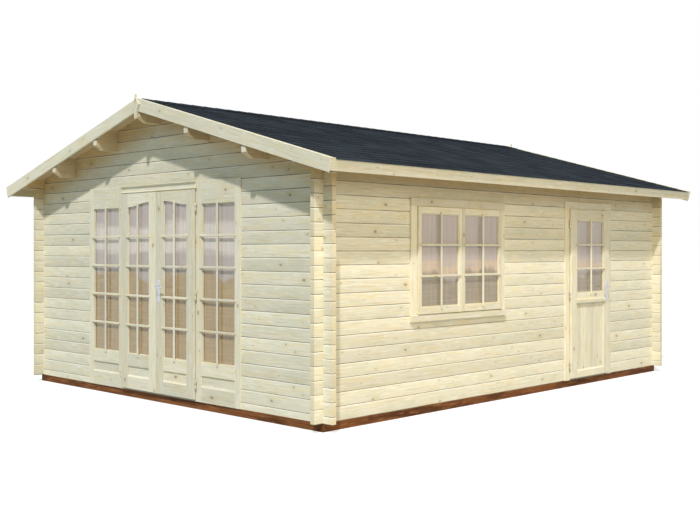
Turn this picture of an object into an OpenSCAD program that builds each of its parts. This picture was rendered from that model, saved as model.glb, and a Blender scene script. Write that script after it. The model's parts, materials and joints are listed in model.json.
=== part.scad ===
// Log garden house with glazed double doors in the front gable, a casement window
// and a half-glazed side door in the right-hand wall.
// Millimetres. The origin is on the ground at the centre of the plan, and the front faces -Y.

/* [Log walls] */
// Width over the outer faces of the side walls
plan_w = 4500; // [4200:50:5000]
// Depth over the outer faces of the front and back walls
plan_d = 5500; // [5300:50:6500]
// Thickness of a wall log
log_t = 44; // [40:1:50]
// Height of a side wall above the base, at its outer face
side_h = 2140; // [2070:1:2210]
// Length of log that passes the wall faces at a corner
log_end = 100; // [60:5:140]
// Width of the V joint between two logs
joint_w = 10; // [6:1:16]
// Depth of the V joint between two logs
joint_d = 5; // [3:0.5:8]
// Whole courses in a side wall
side_courses = 18; // [18:1:19]
// Height of the cut log on top of a side wall, at its outer face
top_log_h = 88; // [70:1:105]

/* [Base and floor] */
// Height of the base beams
base_h = 70; // [45:1:120]
// Width of the base beams
base_w = 70; // [60:1:100]
// Width of a floor joist
joist_w = 45; // [38:1:70]
// Number of floor joists
joist_count = 9; // [5:1:12]
// Thickness of the floor boards
floor_t = 19; // [16:1:28]
// Gap between the floor boards and the walls
floor_gap = 5; // [2:1:10]

/* [Roof] */
// Pitch of the roof in degrees
roof_pitch = 15.6; // [12:0.2:20]
// Overhang of the roof past the side walls, along the level
eave_overhang = 338; // [250:2:420]
// Overhang of the roof past the front and back walls
gable_overhang = 250; // [200:5:400]
// Thickness of the roof boards
board_t = 19; // [16:1:25]
// Thickness of the roof covering
roofing_t = 8; // [5:1:15]
// Gap between the layers of the roof, and at the eave boards
layer_gap = 0.1; // [0.05:0.05:0.5]
// Reach of the roof covering past the eave board
drip = 8; // [4:1:20]
// Width of the cover strip along the top of a bargeboard
cover_w = 60; // [40:1:90]
// Thickness of the cover strip
cover_t = 8; // [6:1:12]
// Thickness of the ridge covering
ridge_cap_t = 4; // [3:1:8]
// Width of the ridge covering down each slope
ridge_cap_w = 150; // [100:5:250]
// Height of a bargeboard with its cover strip, square to the slope
barge_h = 114; // [100:1:150]
// Thickness of the bargeboards, eave boards and finials
trim_t = 18; // [15:1:25]
// Height of an eave board, square to the slope
fascia_h = 92; // [70:1:110]
// Gap at the mitre of two bargeboards, behind the finial
mitre_gap = 2; // [1:0.5:4]
// Width of a purlin
purlin_w = 58; // [45:1:75]
// Depth of a purlin
purlin_d = 195; // [175:5:220]
// Distance of the upper purlins from the middle
purlin_upper_x = 750; // [600:10:900]
// Distance of the lower purlins from the middle
purlin_lower_x = 1550; // [1300:10:1700]
// Gap between the end of a purlin and the bargeboard
purlin_back = 12; // [5:1:40]
// Gap between the nose of a purlin and the bargeboard above it
nose_gap = 2; // [1:0.5:5]
// Distance of the nose of a purlin behind the face of the bargeboard
nose_back = 11; // [6:1:30]
// Length of the chamfer under the nose
nose_cut_l = 80; // [50:5:120]
// Height of the chamfer under the nose
nose_cut_h = 48; // [30:2:60]
// Height of a finial
finial_h = 232; // [180:2:280]
// Height of a finial above the top of the roof
finial_rise = 34; // [20:1:50]
// Width of a finial at its shoulders
finial_w = 124; // [90:2:150]
// Width of a finial at its tail
finial_tail_w = 30; // [20:1:40]
// Width of a finial just below its point
finial_tip_w = 8; // [6:1:20]

/* [Front doors and side windows] */
// Width of the opening in the front wall
front_open_w = 2410; // [2300:10:2600]
// Courses below the top of the opening in the front wall
front_open_courses = 17; // [16:1:17]
// Width of a door leaf
front_leaf_w = 595; // [540:5:640]
// Width of the stiles of a door leaf
front_stile = 116; // [90:1:130]
// Width of the stiles of a side window
panel_stile = 80; // [60:1:100]
// Height of the top rail of the leaves and side windows
front_top_rail = 134; // [110:1:160]
// Rise of the glass towards the middle of the double door
arch_rise = 42; // [20:1:60]
// Height of the bottom of the lower panels above the base
lower_panel_z = 137; // [100:1:170]
// Height of the lower panels
lower_panel_h = 103; // [80:1:160]
// Height of the rail between a lower panel and the glass
mid_rail = 120; // [90:1:160]
// Height of the head rail over the leaves
front_head = 65; // [50:1:90]
// Reach of the front trim past the opening
front_trim_lap = 25; // [15:1:40]
// Thickness of the cornice over the leaves
cornice_t = 20; // [15:1:30]

/* [Joinery] */
// Stand of a door frame in front of the wall
frame_proud = 13; // [8:1:20]
// Thickness of a leaf's lip in front of its frame
lip_t = 19; // [14:1:24]
// Thickness of a leaf
leaf_t = 40; // [36:1:50]
// Lap of a leaf or sash over its frame
lap = 13; // [10:1:16]
// Clearance round a leaf
leaf_gap = 6; // [5.5:0.5:8]
// Height of a door's threshold
threshold_h = 13; // [8:1:20]
// Reach of a threshold in front of the wall
threshold_nose = 10; // [5:1:20]
// Depth of a recessed panel
recess = 11; // [6:1:13]
// Thickness of the glass
glass_t = 4; // [3:1:6]

/* [Window] */
// Middle of the window, from the middle of the wall
window_y = -1015; // [-1200:5:-900]
// Courses below the window
window_sill_courses = 7; // [6:1:9]
// Courses below the top of the window and of the walls beside it
window_head_courses = 16; // [15:1:16]
// Width of the two sashes together
sashes_w = 1230; // [1000:10:1300]
// Gap between the sashes, and round them
sash_gap = 4; // [2:0.5:6]
// Width of a sash's stiles
sash_stile = 42; // [36:1:60]
// Height of a sash's rails
sash_rail = 60; // [45:1:75]
// Thickness of a sash
sash_t = 40; // [36:1:50]
// Height of the window frame below the sashes
window_foot = 14; // [10:1:30]
// Height of the window frame above the sashes
window_top = 64; // [45:1:80]
// Width of the trim round the sashes
window_trim = 74; // [60:1:90]
// Thickness of that trim
window_trim_t = 20; // [15:1:28]
// Lap of the trim over the logs
window_trim_lap = 30; // [20:1:40]
// Height of the sill board under the sashes
sill_h = 62; // [50:1:80]
// Thickness of the sill board, under the face of the sashes
sill_t = 34; // [24:1:38]
// Fall of the sill board's top edge
sill_fall = 5; // [2:1:12]

/* [Side door] */
// Middle of the side door, from the middle of the wall
side_door_y = 1238; // [1150:2:1350]
// Width of the leaf
side_leaf_w = 775; // [700:5:820]
// Width of the leaf's stiles
side_stile = 116; // [95:1:130]
// Height of the leaf's top rail
side_top_rail = 122; // [90:1:150]
// Height of the bottom of the glass above the base
side_glass_z = 922; // [800:2:1000]
// Height of the rail under the glass
side_mid_rail = 109; // [90:1:140]
// Height of the top of the bottom rail above the base
side_bottom_z = 90; // [70:1:130]
// Width of the door jambs beside the leaf
side_jamb = 56; // [45:1:70]
// Reach of the door trim past the opening in the logs
side_trim_lap = 24; // [15:1:40]
// Cut of the door opening into the log over the window's head
side_head_rise = 44; // [20:1:80]
// Reach of the drip board in front of the leaf
drip_nose = 13; // [8:1:30]
// Height of the drip board
drip_h = 45; // [30:1:80]
// Reach of the drip board past each side of the glass
drip_lap = 30; // [0:1:40]

/* [Ironmongery] */
// Outer radius of a hinge barrel
barrel_r = 8; // [7:0.5:9]
// Radius of a hinge pin
pin_r = 4; // [3:0.25:5]
// Running clearance round a hinge pin
pin_gap = 0.05; // [0.02:0.01:0.1]
// Length of each half of a hinge
barrel_l = 42; // [30:1:60]
// Gap between the halves of a hinge
barrel_gap = 0.5; // [0.3:0.1:1]
// Width of the foot that fixes a hinge half
foot_w = 8; // [6:0.5:10]
// Gap between a leaf's edge and the hinge axis
hinge_out = 10; // [9.5:0.5:12]
// Height of the lowest hinge above the foot of a leaf
hinge_foot = 132; // [80:1:200]
// Distance of the top hinge below the top of a leaf
hinge_drop = 165; // [100:1:220]
// Length of a handle plate
plate_l = 218; // [180:2:240]
// Width of a handle plate
plate_w = 38; // [32:1:45]
// Thickness of a handle plate
plate_t = 4; // [3:0.5:6]
// Distance of a handle plate's middle from the edge of the leaf
backset = 46; // [40:1:60]
// Height of the front lever above the base
front_lever_z = 1028; // [950:1:1080]
// Height of the side door's lever above the base
side_lever_z = 973; // [940:1:1050]
// Distance of a lever below the top of its plate
lever_drop = 68; // [50:1:90]
// Radius of a lever's neck
neck_r = 8; // [7:0.5:10]
// Stand of a lever's grip in front of its plate
lever_stand = 44; // [35:1:55]
// Length of a lever's grip
lever_l = 118; // [100:1:135]
// Running clearance round a lever's neck
neck_gap = 0.3; // [0.2:0.1:0.5]
// Radius of a spindle
spindle_r = 4.5; // [4:0.25:6]
// Clearance of a spindle in its leaf
spindle_gap = 1; // [0.5:0.25:2]

/* [Hidden] */
$fn = 48;
half_w = plan_w / 2;
half_d = plan_d / 2;
log_half_w = half_w + log_end;
log_half_d = half_d + log_end;
eave_log_z = side_h - top_log_h;
course = eave_log_z / side_courses;
slope = tan(roof_pitch);
ridge_h = side_h + half_w * slope;
roof_half_d = half_d + gable_overhang;
roof_run = (half_w + eave_overhang - board_t * sin(roof_pitch)) / cos(roof_pitch);
roofing_half_d = roof_half_d - cover_w - layer_gap;
barge_foot = board_t + cover_t - barge_h;
purlin_half_d = roof_half_d - trim_t - purlin_back;
nose_half_d = roof_half_d - nose_back;
max_courses = ceil(ridge_h / course);
// Height of a finial's shoulders as a share of it, how sharply they flare, and steps of the curve
finial_shoulder = 0.55;
finial_curve = 2.4;
finial_steps = 20;
// Cutting solids reach this far past what they cut
over = 1;

// Front opening, from the middle
front_open_h = (front_open_courses + 0.5) * course;
leaf_edge = front_leaf_w + leaf_gap / 2;
front_leaf_top = front_open_h - front_head;
leaf_foot = threshold_h + leaf_gap;
leaf_proud = frame_proud + leaf_gap + lip_t;
leaf_back = leaf_t - leaf_proud;
frame_edge = leaf_edge - lap;
panel_edge = front_open_w / 2 + front_trim_lap;
front_glass_z = lower_panel_z + lower_panel_h + mid_rail;
front_glass_top = front_leaf_top - front_top_rail;
panel_glass_x0 = leaf_edge + panel_stile;
panel_glass_x1 = panel_edge - panel_stile;
leaf_glass_x0 = leaf_gap / 2 + front_stile;
leaf_glass_x1 = leaf_edge - front_stile;
arch_steps = 12;
// Axis of a door's hinges, in front of the wall: the middle of the lip
hinge_y = -leaf_proud + lip_t / 2;
// Height of a panel's bevelled bottom edge, in depths of the recess
bevel_rise = 1.4;
// Radius of a lever's elbow, in radii of its neck
elbow = 1.5;

// Window opening in the right-hand wall
window_sill_h = window_sill_courses * course;
window_head_h = window_head_courses * course;
sash_z0 = window_sill_h + window_foot;
sash_z1 = window_head_h - window_top;
trim_half_w = sashes_w / 2 + sash_gap / 2 + window_trim;
window_half_w = trim_half_w - window_trim_lap;
sash_w = (sashes_w - sash_gap) / 2;

// Side door opening in the right-hand wall
side_open_h = window_head_h + side_head_rise;
side_leaf_top = side_open_h - side_jamb;
side_half = side_leaf_w / 2;
side_open_half = side_half + side_jamb;
side_glass_half = side_half - side_stile;
side_glass_top = side_leaf_top - side_top_rail;
side_panel_top = side_glass_z - side_mid_rail;

// Colours of the finishes
spruce = [0.87, 0.82, 0.66];
joinery_wood = [0.90, 0.85, 0.69];
treated = [0.45, 0.22, 0.13];
slate = [0.19, 0.21, 0.25];
grey_sill = [0.55, 0.56, 0.55];
steel = [0.74, 0.76, 0.80];
pane = [0.70, 0.72, 0.76, 0.4];

// Height of the underside of the roof above the base, at a distance from the middle
function roof_z(x) = ridge_h - abs(x) * slope;

function reversed(list) = [for (i = [len(list) - 1:-1:0]) list[i]];

// Heights of the joints between logs, from the first one, that lie inside a span
function joints(first, lo, hi) = [
    for (k = [0:max_courses])
        let (z = first + k * course)
        if (z > lo + joint_w && z < hi - joint_w) z
];
function side_joints(lo, hi) = joints(course, lo, hi);
function end_joints(lo, hi) = joints(course / 2, lo, hi);

// Upright edge at x with a V cut at each joint, going inward
function grooved_edge(x, inward, zs) = [
    for (z = zs) each [[x, z - joint_w / 2], [x + inward * joint_d, z], [x, z + joint_w / 2]]
];

// Lower or upper corner of a log, whole or with half of a V joint
function foot_corner(x, inward, z, grooved) =
    grooved ? [[x + inward * joint_d, z], [x, z + joint_w / 2]] : [[x, z]];
function head_corner(x, inward, z, grooved) =
    grooved ? [[x, z - joint_w / 2], [x + inward * joint_d, z]] : [[x, z]];

// Outline of stacked logs between two upright edges, where the top may slope
function log_stack(x0, x1, lo, hi0, hi1, zs, foot, head) = concat(
    foot_corner(x0, 1, lo, foot),
    grooved_edge(x0, 1, zs),
    head_corner(x0, 1, hi0, head),
    reversed(head_corner(x1, -1, hi1, head)),
    reversed(grooved_edge(x1, -1, zs)),
    reversed(foot_corner(x1, -1, lo, foot))
);

// Upright outline in X and Z, pushed from y0 to y1
module push_y(y0, y1) {
    translate([0, y1, 0])
        rotate([90, 0, 0])
            linear_extrude(y1 - y0)
                children();
}

// Upright outline in Y and Z, pushed from x0 to x1
module push_x(x0, x1) {
    translate([x0, 0, 0])
        rotate([90, 0, 90])
            linear_extrude(x1 - x0)
                children();
}

module box_outline(x0, z0, x1, z1) {
    translate([x0, z0])
        square([x1 - x0, z1 - z0]);
}

// Everything above is set on the base
module on_base() {
    translate([0, 0, base_h])
        children();
}

// Joinery is drawn as seen from outside: X to the right, -Y outwards, Z from the base
module on_front() {
    translate([0, -half_d, base_h])
        children();
}

module on_right(y) {
    translate([half_w, y, base_h])
        rotate([0, 0, 90])
            children();
}

// Corner notches: a crossing log keeps the middle half of its height, so logs that are
// set half a course apart lock into each other
module side_notches(y) {
    for (k = [0:side_courses])
        box_outline(y, (k - 0.25) * course, y + log_t, (k + 0.25) * course);
}

module end_notches(x) {
    for (k = [0:side_courses - 1])
        box_outline(x, (k + 0.25) * course, x + log_t, (k + 0.75) * course);
    box_outline(x, (side_courses + 0.25) * course, x + log_t, ridge_h);
}

// Logs of the right-hand wall between two heights, cut to an elevation in Y and Z
module side_logs(lo, hi, foot, head) {
    rise = head ? 0 : log_t * slope;
    on_base()
        intersection() {
            push_y(-purlin_half_d - over, purlin_half_d + over)
                polygon(log_stack(
                    half_w - log_t, half_w, lo, hi + rise, hi, side_joints(lo, hi), foot, head
                ));
            push_x(half_w - log_t - over, half_w + over)
                children();
        }
}

// Elevation of side logs with grooved ends, notched where the front and back walls cross
module side_elevation(lo, hi) {
    difference() {
        polygon(log_stack(-log_half_d, log_half_d, lo, hi, hi, side_joints(lo, hi), false, false));
        side_notches(-half_d);
        side_notches(half_d - log_t);
    }
}

// Piece of the front wall, or of the back wall at y, cut to an elevation in X and Z
module end_logs(y, lo, hi, foot, head) {
    on_base()
        intersection() {
            push_x(-log_half_w - over, log_half_w + over)
                polygon([
                    for (p = log_stack(0, log_t, lo, hi, hi, end_joints(lo, hi), foot, head))
                        [y + p[0], p[1]]
                ]);
            push_y(y - over, y + log_t + over)
                children();
        }
}

// Elevation of end logs between x0 and x1
module end_elevation(x0, x1, lo, hi) {
    difference() {
        polygon(log_stack(x0, x1, lo, hi, hi, end_joints(lo, hi), false, false));
        end_notches(-half_w);
        end_notches(half_w - log_t);
    }
}

// Gable: log ends as high as the side walls, then logs cut to the roof around the purlins
module gable_elevation(lo) {
    inner = half_w - log_t;
    ends_h = min((side_courses + 0.5) * course, roof_z(log_half_w));
    right = concat(
        [[log_half_w, lo]],
        grooved_edge(log_half_w, -1, end_joints(lo, ends_h)),
        [[log_half_w, ends_h], [inner, ends_h], [inner, roof_z(inner)]]
    );
    left = [for (p = reversed(right)) [-p[0], p[1]]];
    difference() {
        polygon(concat(right, [[0, ridge_h]], left));
        end_notches(-half_w);
        end_notches(half_w - log_t);
        for (x = purlin_places())
            box_outline(x - purlin_w / 2, roof_z(x) - purlin_d, x + purlin_w / 2, ridge_h + over);
    }
}

function purlin_places() = [
    -purlin_lower_x, -purlin_upper_x, 0, purlin_upper_x, purlin_lower_x
];

module base_side_beams() {
    color(treated)
        for (x = [-half_w, half_w - base_w])
            translate([x, -half_d, 0])
                cube([base_w, plan_d, base_h]);
}

module base_end_beams() {
    color(treated)
        for (y = [-half_d, half_d - base_w])
            translate([-half_w + base_w, y, 0])
                cube([plan_w - 2 * base_w, base_w, base_h]);
}

module floor_joists() {
    pitch = (plan_d - 2 * base_w) / (joist_count + 1);
    color(treated)
        for (i = [1:joist_count])
            translate([-half_w + base_w, -half_d + base_w + i * pitch - joist_w / 2, 0])
                cube([plan_w - 2 * base_w, joist_w, base_h]);
}

module floor_boards() {
    inset = log_t + floor_gap;
    color(spruce)
        translate([-half_w + inset, -half_d + inset, base_h])
            cube([plan_w - 2 * inset, plan_d - 2 * inset, floor_t]);
}

module left_wall() {
    color(spruce)
        mirror([1, 0, 0])
            side_logs(0, eave_log_z, false, true)
                side_elevation(0, eave_log_z);
}

module back_wall() {
    color(spruce)
        end_logs(half_d - log_t, 0, ridge_h, false, false)
            gable_elevation(0);
}

module front_wall_right() {
    color(spruce)
        end_logs(-half_d, 0, front_open_h, false, true)
            difference() {
                end_elevation(-log_half_w, log_half_w, 0, front_open_h);
                box_outline(-log_half_w - over, -over, front_open_w / 2, front_open_h + over);
            }
}

module front_wall_left() {
    mirror([1, 0, 0])
        front_wall_right();
}

module front_gable() {
    color(spruce)
        end_logs(-half_d, front_open_h, ridge_h, true, false)
            gable_elevation(front_open_h);
}

module right_wall_lower() {
    color(spruce)
        side_logs(0, window_sill_h, false, true)
            difference() {
                side_elevation(0, window_sill_h);
                box_outline(side_door_y - side_open_half, -over, log_half_d + over, window_sill_h + over);
            }
}

module right_wall_front() {
    color(spruce)
        side_logs(window_sill_h, window_head_h, true, true)
            difference() {
                side_elevation(window_sill_h, window_head_h);
                box_outline(window_y - window_half_w, 0, log_half_d + over, window_head_h + over);
            }
}

module right_wall_middle() {
    y0 = window_y + window_half_w;
    y1 = side_door_y - side_open_half;
    color(spruce)
        side_logs(window_sill_h, window_head_h, true, true)
            box_outline(y0, window_sill_h, y1, window_head_h);
}

module right_wall_rear() {
    color(spruce)
        side_logs(0, window_head_h, false, true)
            difference() {
                side_elevation(0, window_head_h);
                box_outline(-log_half_d - over, -over, side_door_y + side_open_half, window_head_h + over);
            }
}

module right_wall_top() {
    door0 = side_door_y - side_open_half;
    door1 = side_door_y + side_open_half;
    color(spruce)
        side_logs(window_head_h, eave_log_z, true, true)
            difference() {
                side_elevation(window_head_h, eave_log_z);
                box_outline(door0, window_head_h - over, door1, side_open_h);
            }
}

// Top log of each side wall: cut to the roof, and run out under the gables with chamfered ends
module eave_logs() {
    y = purlin_half_d;
    cut = top_log_h / 2;
    top = side_h + log_t * slope + over;
    color(spruce)
        for (side = [0, 1])
            mirror([side, 0, 0])
                side_logs(eave_log_z, side_h, true, false)
                    difference() {
                        polygon([
                            [-y + cut, eave_log_z], [y - cut, eave_log_z], [y, eave_log_z + cut],
                            [y, top], [-y, top], [-y, eave_log_z + cut]
                        ]);
                        side_notches(-half_d);
                        side_notches(half_d - log_t);
                    }
}

// Purlin at a distance from the middle: its top is cut to the roof, and its noses pass under the bargeboards
module purlin(x) {
    x0 = x - purlin_w / 2;
    x1 = x + purlin_w / 2;
    foot = roof_z(x) - purlin_d;
    crown = x == 0 ? [[0, ridge_h]] : [];
    nose_top = roof_z(abs(x) + purlin_w / 2) + barge_foot / cos(roof_pitch) - nose_gap;
    back = [
        [nose_half_d - nose_cut_l, foot], [nose_half_d, foot + nose_cut_h], [nose_half_d, nose_top],
        [purlin_half_d, nose_top], [purlin_half_d, ridge_h + over]
    ];
    front = [for (p = reversed(back)) [-p[0], p[1]]];
    on_base()
        intersection() {
            push_y(-nose_half_d - over, nose_half_d + over)
                polygon(concat(
                    [[x0, foot], [x1, foot], [x1, roof_z(x1)]], crown, [[x0, roof_z(x0)]]
                ));
            push_x(x0 - over, x1 + over)
                polygon(concat(back, front));
        }
}

module purlins() {
    color(spruce)
        for (x = purlin_places())
            purlin(x);
}

// Points of the right-hand slope, by the way down it and the height square to it
function slope_point(run, h) = [
    run * cos(roof_pitch) + h * sin(roof_pitch),
    ridge_h - run * sin(roof_pitch) + h * cos(roof_pitch)
];
function ridge_point(x, h) = [x, ridge_h - x * slope + h / cos(roof_pitch)];

// Sheet or board on the right-hand slope, from near the ridge to the eave
module slope_strip(x, run, h0, h1) {
    polygon([ridge_point(x, h0), slope_point(run, h0), slope_point(run, h1), ridge_point(x, h1)]);
}

module roof_boards_right() {
    y = roof_half_d - trim_t;
    color(spruce)
        on_base()
            push_y(-y, y)
                slope_strip(0, roof_run - trim_t - layer_gap, layer_gap, board_t);
}

module roof_boards_left() {
    mirror([1, 0, 0])
        roof_boards_right();
}

module roofing_right() {
    y = roofing_half_d;
    color(slate)
        on_base()
            push_y(-y, y)
                slope_strip(0, roof_run + drip, board_t + layer_gap, board_t + roofing_t);
}

module roofing_left() {
    mirror([1, 0, 0])
        roofing_right();
}

module ridge_cap() {
    y = roofing_half_d;
    foot = board_t + roofing_t + layer_gap;
    top = foot + ridge_cap_t;
    right = [slope_point(ridge_cap_w, foot), slope_point(ridge_cap_w, top)];
    left = [for (p = reversed(right)) [-p[0], p[1]]];
    color(slate)
        on_base()
            push_y(-y, y)
                polygon(concat([ridge_point(0, foot)], right, [ridge_point(0, top)], left));
}

// Bargeboards of one gable, each with a cover strip that lies on the ends of the roof boards
module bargeboard_pair() {
    top = board_t + cover_t;
    for (side = [0, 1])
        mirror([side, 0, 0])
            on_base()
                union() {
                    push_y(-roof_half_d, -roof_half_d + trim_t)
                        slope_strip(mitre_gap / 2, roof_run, barge_foot, top);
                    push_y(-roof_half_d, -roof_half_d + cover_w)
                        slope_strip(mitre_gap / 2, roof_run, board_t + layer_gap, top);
                }
}

module bargeboards_front() {
    color(joinery_wood)
        bargeboard_pair();
}

module bargeboards_back() {
    color(joinery_wood)
        mirror([0, 1, 0])
            bargeboard_pair();
}

module fascias() {
    y = roof_half_d - trim_t;
    foot = board_t - fascia_h;
    run = roof_run - trim_t;
    color(joinery_wood)
        for (side = [0, 1])
            mirror([side, 0, 0])
                on_base()
                    push_y(-y, y)
                        polygon([
                            slope_point(run, foot), slope_point(roof_run, foot),
                            slope_point(roof_run, board_t), slope_point(run, board_t)
                        ]);
}

// Half width of a finial by its height: slim ends that flare out to the shoulders
function finial_flare(t) =
    t < finial_shoulder ? t / finial_shoulder : (1 - t) / (1 - finial_shoulder);
function finial_end(t) = t < finial_shoulder ? finial_tail_w : finial_tip_w;
function finial_half(t) =
    (finial_end(t) + (finial_w - finial_end(t)) * pow(finial_flare(t), finial_curve)) / 2;

module finial() {
    top = ridge_point(0, board_t + roofing_t + ridge_cap_t)[1] + finial_rise;
    foot = top - finial_h;
    tail = finial_tail_w / 2;
    body = finial_h - tail - finial_tip_w / 2;
    right = [
        for (i = [0:finial_steps])
            let (t = i / finial_steps)
            [finial_half(t), foot + tail + t * body]
    ];
    left = [for (p = reversed(right)) [-p[0], p[1]]];
    on_base()
        push_y(-roof_half_d - trim_t, -roof_half_d)
            union() {
                polygon(concat(right, [[0, top]], left));
                translate([0, foot + tail])
                    circle(tail);
            }
}

module finials() {
    color(joinery_wood)
        for (side = [0, 1])
            mirror([0, side, 0])
                finial();
}

// Recess on the outer face of a panel, with its bottom edge bevelled to shed water
module panel_recess(x0, x1, z0, z1, face) {
    push_x(x0, x1)
        polygon([
            [face - over, z0 - over], [face, z0], [face + recess, z0 + recess * bevel_rise],
            [face + recess, z1], [face - over, z1]
        ]);
}

// Fixed window beside the doors: a face that laps the logs and a body set in the opening
module side_window_right() {
    lower_top = lower_panel_z + lower_panel_h;
    color(joinery_wood)
        on_front()
            difference() {
                union() {
                    push_y(-frame_proud, 0)
                        box_outline(frame_edge, 0, panel_edge, front_open_h + frame_proud);
                    push_y(0, log_t)
                        box_outline(frame_edge, 0, front_open_w / 2, front_open_h);
                }
                push_y(-frame_proud - over, log_t + over)
                    box_outline(panel_glass_x0, front_glass_z, panel_glass_x1, front_glass_top);
                panel_recess(panel_glass_x0, panel_glass_x1, lower_panel_z, lower_top, -frame_proud);
            }
}

module side_window_left() {
    mirror([1, 0, 0])
        side_window_right();
}

// Rail over the leaves, with a moulded cornice in front of it
module front_door_head() {
    z0 = front_leaf_top + leaf_gap;
    z1 = front_open_h + frame_proud;
    bead = cornice_t / 2;
    face = -frame_proud - cornice_t;
    color(joinery_wood)
        on_front() {
            push_y(-frame_proud, log_t)
                box_outline(-frame_edge, front_leaf_top - lap, frame_edge, front_open_h);
            push_x(-leaf_edge - lap, leaf_edge + lap)
                polygon([
                    [-frame_proud, z0], [face, z0], [face, z0 + bead], [face + bead / 2, z0 + bead],
                    [face + bead / 2, z1 - 2 * bead], [face - bead, z1 - bead / 2], [face - bead, z1],
                    [-frame_proud, z1]
                ]);
        }
}

module threshold(half) {
    push_y(-threshold_nose, log_t)
        box_outline(-half, 0, half, threshold_h);
}

module thresholds() {
    color(grey_sill) {
        on_front()
            threshold(frame_edge);
        on_right(side_door_y)
            threshold(side_half - lap);
    }
}

// Outline of a front leaf's glass: its top swings up towards the middle of the double door
module front_glass_outline() {
    width = leaf_glass_x1 - leaf_glass_x0;
    swing = [
        for (i = [0:arch_steps])
            let (t = i / arch_steps)
            [leaf_glass_x0 + t * width, front_glass_top + arch_rise * (1 + cos(180 * t)) / 2]
    ];
    polygon(concat([[leaf_glass_x1, front_glass_z], [leaf_glass_x0, front_glass_z]], swing));
}

// Right-hand leaf: a lip over the frame and a body inside it
module front_leaf() {
    lower_top = lower_panel_z + lower_panel_h;
    inset = lap + leaf_gap;
    on_front()
        difference() {
            union() {
                push_y(-leaf_proud, -leaf_proud + lip_t)
                    box_outline(leaf_gap / 2, leaf_foot, leaf_edge, front_leaf_top);
                push_y(-leaf_proud + lip_t, leaf_back)
                    box_outline(leaf_gap / 2, leaf_foot, leaf_edge - inset, front_leaf_top - inset);
            }
            push_y(-leaf_proud - over, leaf_back + over)
                front_glass_outline();
            panel_recess(leaf_glass_x0, leaf_glass_x1, lower_panel_z, lower_top, -leaf_proud);
        }
}

module front_leaf_glass() {
    middle = (leaf_back - leaf_proud) / 2;
    on_front()
        push_y(middle - glass_t / 2, middle + glass_t / 2)
            front_glass_outline();
}

module front_door_left() {
    color(joinery_wood)
        mirror([1, 0, 0])
            front_leaf();
}

module front_door_left_glass() {
    color(pane)
        mirror([1, 0, 0])
            front_leaf_glass();
}

module front_door_right() {
    color(joinery_wood)
        difference() {
            front_leaf();
            on_front()
                spindle_bore(leaf_gap / 2 + backset, front_lever_z);
        }
}

module front_door_right_glass() {
    color(pane)
        front_leaf_glass();
}

// Hinge halves stand in front of the frame, beside the leaf's edge, with their axis at x = 0
// Half on the frame: lower barrel, the pin and a foot back to the frame's face
module frame_half() {
    pin_l = barrel_l - 2 * barrel_gap;
    translate([0, 0, -barrel_l])
        cylinder(h = barrel_l - barrel_gap, r = barrel_r);
    translate([0, 0, -barrel_l / 2])
        cylinder(h = barrel_l / 2 + pin_l - barrel_r, r = pin_r);
    push_y(0, -frame_proud - hinge_y)
        box_outline(-foot_w / 2, -barrel_l + barrel_gap, foot_w / 2, -2 * barrel_gap);
}

// Half on the leaf: upper barrel, bored for the pin, and a foot to the leaf's edge
module leaf_half() {
    difference() {
        union() {
            cylinder(h = barrel_l, r = barrel_r);
            push_x(-hinge_out, 0)
                box_outline(-foot_w / 2, barrel_gap, foot_w / 2, barrel_l - barrel_gap);
        }
        translate([0, 0, -over])
            cylinder(h = barrel_l - barrel_r + over, r = pin_r + pin_gap);
    }
}

// Heights of three hinges on a leaf, evenly spaced
function hinge_heights(leaf_top) =
    let (low = leaf_foot + hinge_foot)
    let (high = leaf_top - hinge_drop)
    [low, (low + high) / 2, high];

module at_front_hinges() {
    on_front()
        for (z = hinge_heights(front_leaf_top))
            translate([leaf_edge + hinge_out, hinge_y, z])
                children();
}

module at_side_hinges() {
    on_right(side_door_y)
        for (z = hinge_heights(side_leaf_top))
            translate([-side_half - hinge_out, hinge_y, z])
                mirror([1, 0, 0])
                    children();
}

module frame_hinges() {
    color(steel) {
        for (side = [0, 1])
            mirror([side, 0, 0])
                at_front_hinges()
                    frame_half();
        at_side_hinges()
            frame_half();
    }
}

module front_right_hinges() {
    color(steel)
        at_front_hinges()
            leaf_half();
}

module front_left_hinges() {
    mirror([1, 0, 0])
        front_right_hinges();
}

module side_door_hinges() {
    color(steel)
        at_side_hinges()
            leaf_half();
}

// Handle plates on both faces of a leaf, round the lever's neck
module spindle_bore(x, z) {
    translate([x, leaf_back + over, z])
        rotate([90, 0, 0])
            cylinder(h = leaf_t + 2 * over, r = spindle_r + spindle_gap);
}

module plate_pair(x, z) {
    end_r = plate_w / 2;
    top = z + lever_drop - end_r;
    foot = z + lever_drop - plate_l + end_r;
    for (y = [-leaf_proud - plate_t, leaf_back])
        push_y(y, y + plate_t)
            difference() {
                union() {
                    box_outline(x - end_r, foot, x + end_r, top);
                    translate([x, top])
                        circle(end_r);
                    translate([x, foot])
                        circle(end_r);
                }
                translate([x, z])
                    circle(neck_r + neck_gap);
            }
}

// Lever on one face: a neck out of the leaf, an elbow and a round-ended grip towards +X
module lever_arm(stand) {
    bend = elbow * neck_r;
    rotate([90, 0, 0])
        cylinder(h = stand - bend, r = neck_r);
    translate([bend, -stand + bend, 0])
        rotate([0, 0, 180])
            rotate_extrude(angle = 90)
                translate([bend, 0])
                    circle(neck_r);
    translate([bend, -stand, 0])
        rotate([0, 90, 0])
            cylinder(h = lever_l - bend - neck_r, r = neck_r);
    translate([lever_l - neck_r, -stand, 0])
        sphere(neck_r);
}

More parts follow.
